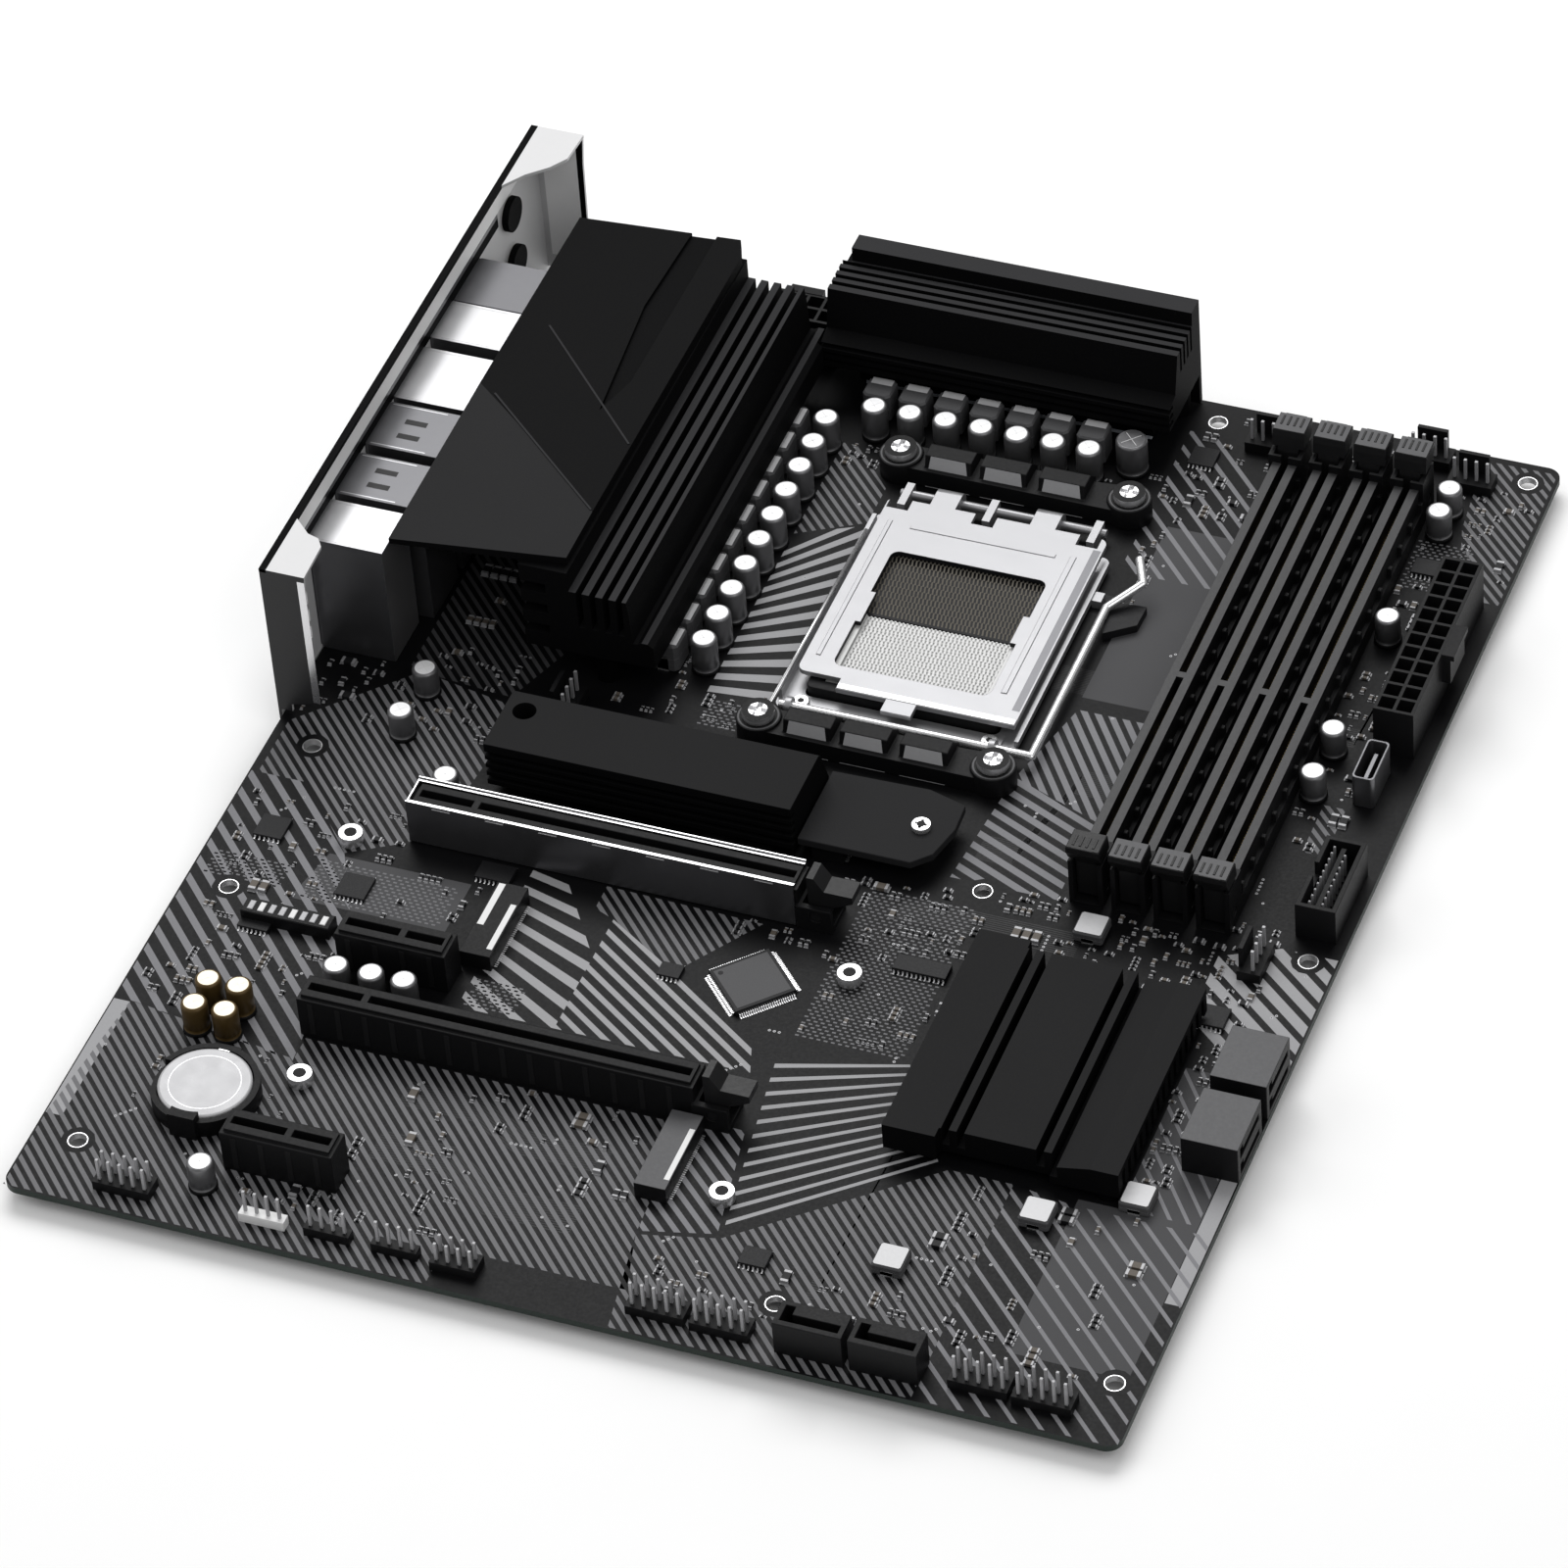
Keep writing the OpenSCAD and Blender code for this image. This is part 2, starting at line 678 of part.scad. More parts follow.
module slot_body(y, len) {
    difference() {
        union() {
            block(slot_x, y - slot_w / 2, 0, len, slot_w, slot_h - 0.8);
            block(slot_x + 0.8, y - slot_w / 2 + 0.8, 0, len - 1.6, slot_w - 1.6, slot_h);
        }
        difference() {
            block(slot_x + 1.6, y - 1, slot_h - 8, len - 3.2, 2, 9);
            block(slot_key_x - 0.8, y - 2, 0, 1.6, 4, slot_h);
        }
    }
}

module pcie_x16_slot_1() {
    color([0.12, 0.12, 0.13]) {
        slot_body(slot_1_y, x16_len);
        latch_mount(slot_1_y);
    }
}

module pcie_x16_slot_2() {
    color([0.12, 0.12, 0.13]) {
        slot_body(slot_2_y, x16_len);
        latch_mount(slot_2_y);
    }
}

// Fork at the slot's end that carries the card latch
module latch_mount(y) {
    x = slot_x + x16_len;
    difference() {
        union() {
            block(x - 0.5, y - 4.4, 0, 8, 1.5, 6.4);
            block(x - 0.5, y + 2.9, 0, 8, 1.5, 6.4);
            block(x - 0.5, y - 4.4, 0, 8, 8.8, 1.2);
            block(x - 0.5, y - 4.4, 0, 1.2, 8.8, 6.4);
        }
        at(x + 4, y + 6, pivot_z) rotate([90, 0, 0]) cylinder(r = pivot_r + fit_gap, h = 12);
    }
}

module pcie_latch(y) {
    x = slot_x + x16_len + 4;
    color([0.16, 0.16, 0.17]) {
        prism_y(y - 2.6, 5.2, [
            [x - 2, 2], [x + 2, 2], [x + 3, 6], [x + 8, 8.6], [x + 8, 10.4], [x + 1.6, 10.4],
            [x - 0.6, 13.6], [x - 2.2, 13.6]
        ]);
        at(x, y + 4.2, pivot_z) rotate([90, 0, 0]) cylinder(r = pivot_r, h = 8.4);
    }
}

module pcie_latch_1() {
    pcie_latch(slot_1_y);
}

module pcie_latch_2() {
    pcie_latch(slot_2_y);
}

// Folded steel sleeve around the first slot
module pcie_steel_shell() {
    y = slot_1_y;
    t = 0.35;
    gap = 0.03;
    lip = 1.1;
    half = slot_w / 2 + gap;
    color([0.9, 0.9, 0.9]) {
        for (s = [-1, 1]) {
            block(slot_x - gap - t, s > 0 ? y + half : y - half - t, 0.4, x16_len - 0.3, t, slot_h + 0.35);
            block(slot_x - gap - t, s > 0 ? y + half + t - lip : y - half - t, slot_h + 0.02,
                x16_len - 0.3, lip, t);
        }
        block(slot_x - gap - t, y - half - t, 0.4, t, 2 * (half + t), slot_h - 0.1);
    }
}

module pcie_x1_slots() {
    color([0.12, 0.12, 0.13]) for (y = x1_slot_ys) slot_body(y, x1_len);
}

// ---- drive modules ----

module m2_sockets() {
    color([0.12, 0.12, 0.13]) {
        m2_socket(127, 139.6, 11);
        m2_socket(67, 88, 11.5);
        m2_socket(127, 36, 11.5);
    }
}

module m2_socket(x, y, w) {
    len = 22;
    difference() {
        block(x, y - (w - 11) / 2, 0, 7, len, 4.2);
        block(x - 1, y + 1, 1.5, 6, len - 2, 1.4);
    }
}

module m2_heatsink() {
    x0 = 53;
    len = 70.5;
    y0 = 138;
    color([0.42, 0.42, 0.43]) difference() {
        prism_x(x0, len, [
            [y0, 3.2], [y0 + 22, 3.2], [y0 + 22, 5], [y0 + 18.5, drive_sink_top - 1],
            [y0 + 17.5, drive_sink_top], [y0, drive_sink_top]
        ]);
        for (i = [0 : 3]) block(x0 - 1, y0 - 1, 4.6 + i * 2.3, len + 2, 2.6, 1.2);
        at(drive_sink_c.x, drive_sink_c.y, 0) cylinder(r = 1.3, h = 30);
        at(drive_sink_c.x, drive_sink_c.y, 5) cylinder(r = 2.6, h = 30);
    }
}

module m2_end_plate() {
    color([0.45, 0.45, 0.46]) difference() {
        at(0, 0, 4.25) linear_extrude(1.9) polygon([
            [124.2, 138.8], [149.8, 138.8], [153.6, 142.6], [155.6, 151],
            [155.2, 158.7], [146.4, 161.2], [124.2, 160.6]
        ]);
        at(148.5, 149.5, 0) cylinder(r = 1.3, h = 20);
    }
}

module m2_standoffs() {
    color([0.8, 0.72, 0.5]) for (i = [0 : len(standoffs) - 1]) difference() {
        at(standoffs[i].x, standoffs[i].y) {
            translate([0, 0, -board_t - 0.4]) cylinder(r = standoff_r, h = board_t + 0.6);
            translate([0, 0, 0.02]) cylinder(r = standoff_r + 0.7,
                h = i < covered_standoffs ? 3.1 + i * 1.05 : standoff_h);
        }
        at(standoffs[i].x, standoffs[i].y, -1) cylinder(r = thread_r, h = 12);
    }
}

// ---- chipset ----

module chipset_heatsink() {
    x0 = 171.7;
    y0 = 62;
    y1 = 121.6;
    base = 2.4;
    color([0.36, 0.36, 0.37]) {
        difference() {
            union() {
                block(x0, y0, base, 11.6, y1 - y0, chipset_sink_top - base);
                block(x0 + 11, y0 + 2.6, base, 29, y1 - y0 - 5, chipset_sink_top - base);
                block(x0 + 36, y0 + 0.6, base, 15, y1 - y0 - 3.4, chipset_sink_top - base);
            }
            for (x = [12, 15.4, 32.6, 36]) block(x0 + x, y0 - 1, base + 2, 1.7, y1 - y0 + 2, 12);
            for (i = [0 : 14])
                block(x0 + 49.6, y0 + 3 + i * 3.6, base - 1, 2, 1.6, chipset_sink_top - base - 0.4);
            cut = chipset_sink_top - 1.6;
            prism_y(y0 - 1, y1 - y0 + 2, [
                [x0 + 37.7, cut], [x0 + 45, chipset_sink_top + 0.01], [x0 + 45, 20], [x0 + 37.7, 20]
            ]);
        }
        for (p = chipset_screws) screw_post(p, base + 0.1);
    }
}

module chipset_package() {
    color([0.1, 0.16, 0.12]) block(184, 80, 0, 24, 24, 1.3);
    color([0.6, 0.6, 0.62]) block(190, 86, 1.3, 12, 12, 1.08);
}

// ---- connectors ----

// Housing with a grid of square pin cells opening upward
module cell_housing(x, y, nx, ny, pitch, h) {
    wall = 0.8;
    cell = pitch - wall;
    difference() {
        block(x, y, 0, nx * pitch + wall, ny * pitch + wall, h);
        for (i = [0 : nx - 1], j = [0 : ny - 1])
            block(x + wall + i * pitch, y + wall + j * pitch, 2, cell, cell, h);
    }
}

module atx_power_connector() {
    color([0.14, 0.14, 0.15]) {
        cell_housing(231, 206, 2, 12, 4.16, 12.8);
        block(240, 226, 5, 2.2, 10, 8);
        block(240, 226, 11.6, 3, 10, 1.4);
    }
}

module cpu_power_connector() {
    color([0.14, 0.14, 0.15]) {
        cell_housing(58.4, 291.5, 4, 2, 4.16, 12.8);
        block(62, 300.4, 5, 8, 2.2, 8);
    }
}

module sata_ports() {
    color([0.2, 0.2, 0.21]) {
        for (x = [169.5, 185.6]) sata_upright(x, 4);
        for (y = [83.4, 102.2]) sata_edge(y);
    }
}

module sata_upright(x, y) {
    difference() {
        block(x, y, 0, 14.8, 6.8, 8.6);
        block(x + 1.2, y + 1.4, 2.6, 12.4, 2, 8);
        block(x + 1.2, y + 1.4, 2.6, 2, 4.2, 8);
    }
}

// Right-angle pair of ports, one above the other, facing the front edge
module sata_edge(y) {
    difference() {
        block(231.5, y - 7.6, 0, 12.3, 15.2, 9.6);
        for (z = [1.2, 5.6]) block(235, y - 6, z, 10, 12, 1.6);
        for (z = [1.2, 5.6]) block(235, y - 6, z, 10, 1.8, 2.9);
    }
}

module front_usb_headers() {
    color([0.12, 0.12, 0.13]) difference() {
        block(232.5, 147.5, 0, 9, 22, 9.2);
        difference() {
            block(233.6, 148.6, 2.6, 6.8, 19.8, 10);
            block(236.4, 149.4, 2, 1.2, 18.2, 6.2);
        }
        block(231, 157, 5.5, 3, 4, 6);
    }
    color([0.8, 0.8, 0.81]) difference() {
        at(231.6, 188.8) rounded_plate(5, 12.4, 8.4, 1);
        difference() {
            at(232.1, 189.3, 2) rounded_plate(4, 11.4, 10, 0.8);
            block(233.6, 191, 1.9, 1, 8, 4.6);
        }
    }
}

// Pin header: base strip and square pins
module header(x, y, nx, ny, h) {
    pitch = 2.54;
    block(x, y, 0, nx * pitch, ny * pitch, 2.4);
    for (i = [0 : nx - 1], j = [0 : ny - 1])
        block(x + pitch * (i + 0.5) - 0.32, y + pitch * (j + 0.5) - 0.32, 2.3, 0.64, 0.64, h - 2.3);
}

module fan_headers() {
    color([0.75, 0.75, 0.76]) {
        for (p = [[173.8, 291], [209.5, 297], [220.8, 291.5]]) fan_header(p.x, p.y, 0);
        for (p = [[224.8, 131.5], [57, 163]]) fan_header(p.x, p.y, 1);
    }
}

module fan_header(x, y, turned) {
    translate(turned ? [x + 5.2 - datum.x, y - datum.y, board_t] : [x - datum.x, y - datum.y, board_t])
    rotate([0, 0, turned ? 90 : 0]) {
        cube([10.2, 5.2, 2.6]);
        translate([1.6, 4.2, 2.5]) cube([7, 1, 5.4]);
        for (i = [0 : 3]) translate([0.96 + i * 2.54, 1.6, 2.5]) cube([0.64, 0.64, 5.6]);
    }
}

module pin_headers() {
    color([0.16, 0.16, 0.17]) {
        header(19, 4.5, 5, 2, 8);
        header(66, 5.4, 4, 1, 8);
        header(81, 5.4, 4, 1, 8);
        header(94.4, 4.2, 4, 2, 7);
        header(137, 4.8, 5, 2, 8.4);
        header(151, 4.4, 5, 2, 8.4);
        header(206, 5.4, 5, 2, 8.4);
        header(219.6, 5, 5, 2, 8.4);
    }
    color([0.9, 0.9, 0.9]) header(51.6, 5.2, 4, 1, 8);
}

// ---- battery ----

module battery_holder() {
    color([0.12, 0.12, 0.13]) difference() {
        union() {
            at(31, 36) cylinder(r = 11.6, h = 4.2);
            block(28, 23.6, 0, 6, 4, 6.2);
            block(28, 45.8, 0, 6, 2.6, 3.4);
        }
        at(31, 36, 1.2) cylinder(r = 10.3, h = 12);
        block(18, 32, 2.4, 4, 8, 4);
    }
}

module coin_battery() {
    color([0.82, 0.82, 0.83]) at(31, 36, 1.25) {
        cylinder(r = 9, h = 0.6);
        translate([0, 0, 0.5]) cylinder(r = 10, h = 2.7);
    }
}

// ---- small packages and screws ----

module ic_packages() {
    color([0.12, 0.12, 0.13]) {
        at(128.3, 100.4) rotate([0, 0, 45]) translate([-7, -7, 0.1]) cube([14, 14, 1.3]);
        for (c = [
            [108, 96.6, 5, 4, 1], [155, 112.5, 12, 4.4, 1.4], [9, 111, 6.6, 6.6, 1], [33, 99, 7, 7, 1],
            [17, 84, 7, 7, 1.1], [219, 116, 8, 6, 1.2], [60, 112.6, 8, 5, 1.2], [154, 24, 6, 5, 1.2],
            [163, 282.6, 6, 6, 1], [221.6, 262, 7, 5, 1.2]
        ]) block(c[0], c[1], 0, c[2], c[3], c[4]);
    }
}

module board_screws() {
    color([0.62, 0.62, 0.63]) {
        for (p = sink_screws) difference() {
            at(p.x, p.y, -board_t - 1.62) {
                cylinder(r = 2.6, h = 1.6);
                translate([0, 0, 1.5]) cylinder(r = screw_r, h = sink_screw_len(p));
            }
            screw_slots(p, -board_t - 1.7, 0.8);
        }
        drive_screw(drive_sink_c, 5.02);
        drive_screw([148.5, 149.5], 6.17);
    }
}

function sink_screw_len(p) = board_t + (p.x > 170 ? 1.9 : screw_depth);

module drive_screw(p, z) {
    difference() {
        at(p.x, p.y, z) {
            cylinder(r = 2.1, h = 1.2);
            translate([0, 0, -3.8]) cylinder(r = 0.9, h = 3.9);
        }
        screw_slots(p, z + 0.6, 1);
    }
}

module screw_slots(p, z, h) {
    block(p.x - 0.3, p.y - 1.3, z, 0.6, 2.6, h);
    block(p.x - 1.3, p.y - 0.3, z, 2.6, 0.6, h);
}

// ---- output ----

pcb();
solder_pins();
io_shield();
antenna_jacks();
audio_jack_stack();
usb_stacks();
lan_usb_stack();
usb_c_stack();
display_stack();
vrm_heatsink_rear();
vrm_cover();
vrm_heatsink_top();
vrm_thermal_pads();
vrm_mosfets();
vrm_chokes();
vrm_capacitors();
board_capacitors();
audio_capacitors();
socket_housing();
socket_contacts();
socket_frame();
load_plate();
load_lever();
cooler_brackets();
cooler_backplate();
cooler_screws();
dimm_slot(1);  // dimm_slot_1
dimm_slot(2);  // dimm_slot_2
dimm_slot(3);  // dimm_slot_3
dimm_slot(4);  // dimm_slot_4
dimm_latch(1, false);  // dimm_latch_1_near
dimm_latch(2, false);  // dimm_latch_2_near
dimm_latch(3, false);  // dimm_latch_3_near
dimm_latch(4, false);  // dimm_latch_4_near
dimm_latch(1, true);  // dimm_latch_1_far
dimm_latch(2, true);  // dimm_latch_2_far
dimm_latch(3, true);  // dimm_latch_3_far
dimm_latch(4, true);  // dimm_latch_4_far
pcie_x16_slot_1();
pcie_steel_shell();
pcie_latch_1();
pcie_x16_slot_2();
pcie_latch_2();
pcie_x1_slots();
m2_sockets();
m2_heatsink();
m2_end_plate();
m2_standoffs();
chipset_heatsink();
chipset_package();
atx_power_connector();
cpu_power_connector();
sata_ports();
front_usb_headers();
fan_headers();
pin_headers();
battery_holder();
coin_battery();
ic_packages();
board_screws();
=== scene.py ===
"""Looks of the main board: materials, printed artwork, small components, lights and camera."""
import math
import random

import bmesh
import bpy
from mathutils import Matrix, Vector


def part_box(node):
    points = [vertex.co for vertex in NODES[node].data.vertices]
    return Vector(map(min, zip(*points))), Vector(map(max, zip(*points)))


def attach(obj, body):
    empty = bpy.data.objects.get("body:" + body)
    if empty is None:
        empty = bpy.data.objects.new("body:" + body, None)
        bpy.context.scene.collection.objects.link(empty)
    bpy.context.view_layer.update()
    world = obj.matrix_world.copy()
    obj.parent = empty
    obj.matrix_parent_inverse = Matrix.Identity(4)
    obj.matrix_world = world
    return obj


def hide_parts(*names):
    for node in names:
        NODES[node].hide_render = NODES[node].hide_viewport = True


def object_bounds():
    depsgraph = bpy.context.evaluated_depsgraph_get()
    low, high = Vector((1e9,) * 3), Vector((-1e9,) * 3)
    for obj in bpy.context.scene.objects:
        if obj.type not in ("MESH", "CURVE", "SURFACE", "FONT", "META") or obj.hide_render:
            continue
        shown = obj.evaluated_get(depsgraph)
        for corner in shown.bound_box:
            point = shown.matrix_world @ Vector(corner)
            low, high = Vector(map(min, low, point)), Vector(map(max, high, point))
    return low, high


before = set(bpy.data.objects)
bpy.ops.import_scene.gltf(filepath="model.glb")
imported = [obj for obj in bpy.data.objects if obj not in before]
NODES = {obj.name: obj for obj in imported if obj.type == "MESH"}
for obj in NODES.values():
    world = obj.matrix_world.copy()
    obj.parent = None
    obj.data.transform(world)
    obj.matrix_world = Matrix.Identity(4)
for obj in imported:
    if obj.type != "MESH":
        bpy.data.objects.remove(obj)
rest_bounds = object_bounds()

# The board's own millimetre coordinates, as in the CAD source.
DATUM = (10.16, 16.51)
BOARD = (243.84, 304.8)
BOARD_T = 1.6
MOUNT_HOLES = [(10.16, 16.51), (10.16, 95.25), (10.16, 140.97), (33.02, 298.45), (165.1, 16.51),
               (165.1, 140.97), (165.1, 298.45), (237.49, 16.51), (237.49, 140.97), (237.49, 298.45)]
SOCKET = (130.0, 212.0)
COOLER = (129.4, 217.9)
DIMM_XS = [187.5 + 9.4 * i for i in range(4)]
SIDE_CAPS = [(83.6, 189.3 + 8.5 * i) for i in range(10)]
END_CAPS = [(92.6 + 8.5 * i, 272.6) for i in range(7)]
BOARD_CAPS = [(27.8, 164.2), (27.8, 150.2), (45, 134.2), (40.6, 12.2), (45, 73.6), (53, 73.6), (60.5, 73.6),
              (223.8, 284.2), (223.8, 276.5), (223.4, 240.5), (223, 203.2), (223, 189.2)]
GOLD_CAPS = [(21, 54), (21, 61.4), (28, 54), (28, 61.4)]
# Small packages: low corner, width, depth, height.
SMALL_PACKAGES = [(108, 96.6, 5, 4, 1), (155, 112.5, 12, 4.4, 1.4), (9, 111, 6.6, 6.6, 1),
                  (33, 99, 7, 7, 1), (17, 84, 7, 7, 1.1), (219, 116, 8, 6, 1.2), (60, 112.6, 8, 5, 1.2),
                  (154, 24, 6, 5, 1.2), (163, 282.6, 6, 6, 1), (221.6, 262, 7, 5, 1.2)]
FLAT_COILS = [(184, 33.3), (208, 54.4), (226.2, 64.4), (191.5, 135.6)]
DRIVE_STANDOFFS = [(147.5, 107.5), (144.5, 40.5), (30, 116), (48, 46)]
CELL_AT = (31, 36)

# Rear port blocks: where each starts and ends along the rear edge, and the top of their metal cans.
AUDIO_SPAN = (171.3, 184.5)
USB_SPANS = [(187, 200.6), (204, 218.4)]
LAN_SPAN = (220.4, 237.8)
USB_C_SPAN = (241.6, 254.4)
DISPLAY_SPAN = (255.6, 270.6)
CAN_Z = 31.99

PLATE_Z = 5.19  # just under the load plate's top face
POWER_PITCH = 4.16
LINE_Z = 0.024
rng = random.Random(20)


# ---- geometry helpers ----

def place(x, y, z=0.0):
    """Board millimetres, z above the top face, to metres in the frame."""
    return Vector((x - DATUM[0], y - DATUM[1], z + BOARD_T)) / 1000


def board_box(node):
    """Lowest and highest corner of a CAD node, in board millimetres."""
    low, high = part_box(node)
    shift = Vector((DATUM[0], DATUM[1], -BOARD_T))
    return low * 1000 + shift, high * 1000 + shift


def circle(cx, cy, r, z, sides):
    """Points around a level circle, anticlockwise."""
    turns = [2 * math.pi * i / sides for i in range(sides)]
    return [(cx + r * math.cos(a), cy + r * math.sin(a), z) for a in turns]


class Shape:
    """Gathers faces in board millimetres, then builds one object from them."""

    def __init__(self):
        self.verts = []
        self.faces = []
        self.slots = []
        self.smooth = []

    def face(self, points, slot=0):
        start = len(self.verts)
        self.verts += [place(*p) for p in points]
        self.faces.append(tuple(range(start, start + len(points))))
        self.slots.append(slot)
        self.smooth.append(False)

    def solid(self, rings, slot=0, cap_slot=None, smooth=False, ring_slots=None):
        """Skins a stack of equal rings of points and caps both ends."""
        start = len(self.verts)
        n = len(rings[0])
        for ring in rings:
            self.verts += [place(*p) for p in ring]
        for k in range(len(rings) - 1):
            side = ring_slots[k] if ring_slots else slot
            for i in range(n):
                a = start + k * n + i
                b = start + k * n + (i + 1) % n
                self.faces.append((a, b, b + n, a + n))
                self.slots.append(side)
                self.smooth.append(smooth)
        top = start + (len(rings) - 1) * n
        self.faces.append(tuple(range(top, top + n)))
        self.slots.append(slot if cap_slot is None else cap_slot)
        self.smooth.append(False)
        self.faces.append(tuple(reversed(range(start, start + n))))
        self.slots.append(slot)
        self.smooth.append(False)

    def box(self, x, y, z, w, d, h, slot=0, cap_slot=None, edge=0.0):
        """Box from its low corner, with its top edges chamfered."""
        def ring(inset, level):
            return [(x + inset, y + inset, level), (x + w - inset, y + inset, level),
                    (x + w - inset, y + d - inset, level), (x + inset, y + d - inset, level)]
        rings = [ring(0, z), ring(0, z + h - edge)]
        if edge:
            rings.append(ring(edge, z + h))
        self.solid(rings, slot, cap_slot)

    def turned_box(self, cx, cy, z, w, d, h, angle, slot=0):
        """Box about a centre, turned in plan by angle degrees."""
        c, s = math.cos(math.radians(angle)), math.sin(math.radians(angle))
        corners = [(-w / 2, -d / 2), (w / 2, -d / 2), (w / 2, d / 2), (-w / 2, d / 2)]
        turned = [(cx + c * u - s * v, cy + s * u + c * v) for u, v in corners]
        self.solid([[(x, y, level) for x, y in turned] for level in (z, z + h)], slot)

    def lathe(self, cx, cy, profile, sides=32, slot=0, ring_slots=None, cap_slot=None):
        """Turned solid from (radius, height) pairs, lowest first."""
        rings = [circle(cx, cy, r, z, sides) for r, z in profile]
        self.solid(rings, slot, cap_slot, True, ring_slots)

    def flat_ring(self, cx, cy, inner, outer, z, slot=0, sides=28):
        near = circle(cx, cy, inner, z, sides)
        far = circle(cx, cy, outer, z, sides)
        for i in range(sides):
            j = (i + 1) % sides
            self.face([near[i], far[i], far[j], near[j]], slot)

    def disc(self, cx, cy, r, z, slot=0, sides=10):
        self.face(circle(cx, cy, r, z, sides), slot)

    def build(self, name, materials, body="board", weld=True):
        mesh = bpy.data.meshes.new(name)
        mesh.from_pydata(self.verts, [], self.faces)
        for m in materials:
            mesh.materials.append(m)
        mesh.polygons.foreach_set("material_index", self.slots)
        mesh.polygons.foreach_set("use_smooth", self.smooth)
        if weld:
            bm = bmesh.new()
            bm.from_mesh(mesh)
            bmesh.ops.remove_doubles(bm, verts=bm.verts, dist=1e-7)
            bm.to_mesh(mesh)
            bm.free()
        obj = bpy.data.objects.new(name, mesh)
        bpy.context.scene.collection.objects.link(obj)
        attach(obj, body)
        return obj


# ---- materials ----

def material(name, color, rough, metal=0.0, grain=900.0, tone=0.12, bump=0.05, rough_spread=0.12,
             stretch=(1, 1, 1), spec=0.5):
    """Principled surface whose tone, roughness and relief vary with fine noise."""
    mat = bpy.data.materials.new(name)
    mat.use_nodes = True
    nodes = mat.node_tree.nodes
    links = mat.node_tree.links
    shader = nodes["Principled BSDF"]
    shader.inputs["Metallic"].default_value = metal
    shader.inputs["Specular IOR Level"].default_value = spec
    coords = nodes.new("ShaderNodeTexCoord")
    mapping = nodes.new("ShaderNodeMapping")
    mapping.inputs["Scale"].default_value = stretch
    fine = nodes.new("ShaderNodeTexNoise")
    fine.inputs["Scale"].default_value = grain
    fine.inputs["Detail"].default_value = 5
    broad = nodes.new("ShaderNodeTexNoise")
    broad.inputs["Scale"].default_value = 45
    broad.inputs["Detail"].default_value = 3
    links.new(coords.outputs["Object"], mapping.inputs["Vector"])
    links.new(mapping.outputs["Vector"], fine.inputs["Vector"])
    links.new(coords.outputs["Object"], broad.inputs["Vector"])
    mix = nodes.new("ShaderNodeMix")
    mix.data_type = "RGBA"
    mix.inputs["A"].default_value = (*[c * (1 - tone) for c in color], 1)
    mix.inputs["B"].default_value = (*[min(1, c * (1 + tone)) for c in color], 1)
    blend = nodes.new("ShaderNodeMath")
    blend.operation = "MULTIPLY_ADD"
    blend.inputs[1].default_value = 0.6
    links.new(fine.outputs["Fac"], blend.inputs[0])
    halve = nodes.new("ShaderNodeMath")
    halve.operation = "MULTIPLY"
    halve.inputs[1].default_value = 0.4
    links.new(broad.outputs["Fac"], halve.inputs[0])
    links.new(halve.outputs[0], blend.inputs[2])
    links.new(blend.outputs[0], mix.inputs["Factor"])
    links.new(mix.outputs["Result"], shader.inputs["Base Color"])
    spread = nodes.new("ShaderNodeMapRange")
    spread.inputs["To Min"].default_value = max(0.02, rough - rough_spread)
    spread.inputs["To Max"].default_value = min(1, rough + rough_spread)
    links.new(fine.outputs["Fac"], spread.inputs["Value"])
    links.new(spread.outputs["Result"], shader.inputs["Roughness"])
    relief = nodes.new("ShaderNodeBump")
    relief.inputs["Strength"].default_value = bump
    relief.inputs["Distance"].default_value = 0.0002
    links.new(fine.outputs["Fac"], relief.inputs["Height"])
    links.new(relief.outputs["Normal"], shader.inputs["Normal"])
    return mat


MASK = material("solder_mask", (0.0035, 0.0035, 0.004), 0.45, grain=1400, tone=0.3, bump=0.08, spec=0.12)
PRINT = material("grey_print", (0.2, 0.2, 0.212), 0.6, grain=2200, tone=0.18, bump=0.12, spec=0.2)
PRINT_DIM = material("dim_print", (0.06, 0.06, 0.063), 0.55, grain=2200, tone=0.2, bump=0.1, spec=0.15)
PRINT_PALE = material("pale_print", (0.33, 0.33, 0.34), 0.6, grain=1800, tone=0.12, bump=0.1, spec=0.2)
PRINT_FAINT = material("faint_print", (0.155, 0.155, 0.162), 0.55, grain=2200, tone=0.25, bump=0.1,
                       spec=0.15)
COPPER = material("buried_trace", (0.014, 0.014, 0.015), 0.4, grain=1500, tone=0.2, bump=0.1, spec=0.2)
TIN = material("bright_tin", (0.8, 0.8, 0.81), 0.32, metal=0.85, grain=1300, tone=0.1, bump=0.2)
CHIP_END = material("chip_end", (0.33, 0.33, 0.34), 0.45, metal=0.3, grain=1300, tone=0.25, bump=0.2)
GOLD = material("contact_gold", (0.5, 0.37, 0.17), 0.36, metal=0.9, grain=1200, tone=0.12, bump=0.1)
SEAT_DARK = material("seat_contact", (0.17, 0.155, 0.13), 0.45, metal=0.5, grain=1200, tone=0.2, bump=0.1)
# Painted highlight: bright copy of the seat contacts for their lower half and the rim strips.
SEAT_HIGHLIGHT = material("seat_painted_highlight", (0.6, 0.6, 0.595), 0.5, metal=0.2, grain=1200, tone=0.08, bump=0.06)
BLACK = material("black_plastic", (0.005, 0.005, 0.0055), 0.48, grain=1600, tone=0.25, bump=0.12, spec=0.15)
BLACK_SATIN = material("satin_plastic", (0.009, 0.009, 0.0095), 0.38, grain=1200, tone=0.2,
                       bump=0.06, spec=0.22)
RAIL_GREY = material("rail_plastic", (0.036, 0.036, 0.0375), 0.42, grain=1500, tone=0.15,
                     bump=0.08, spec=0.25)
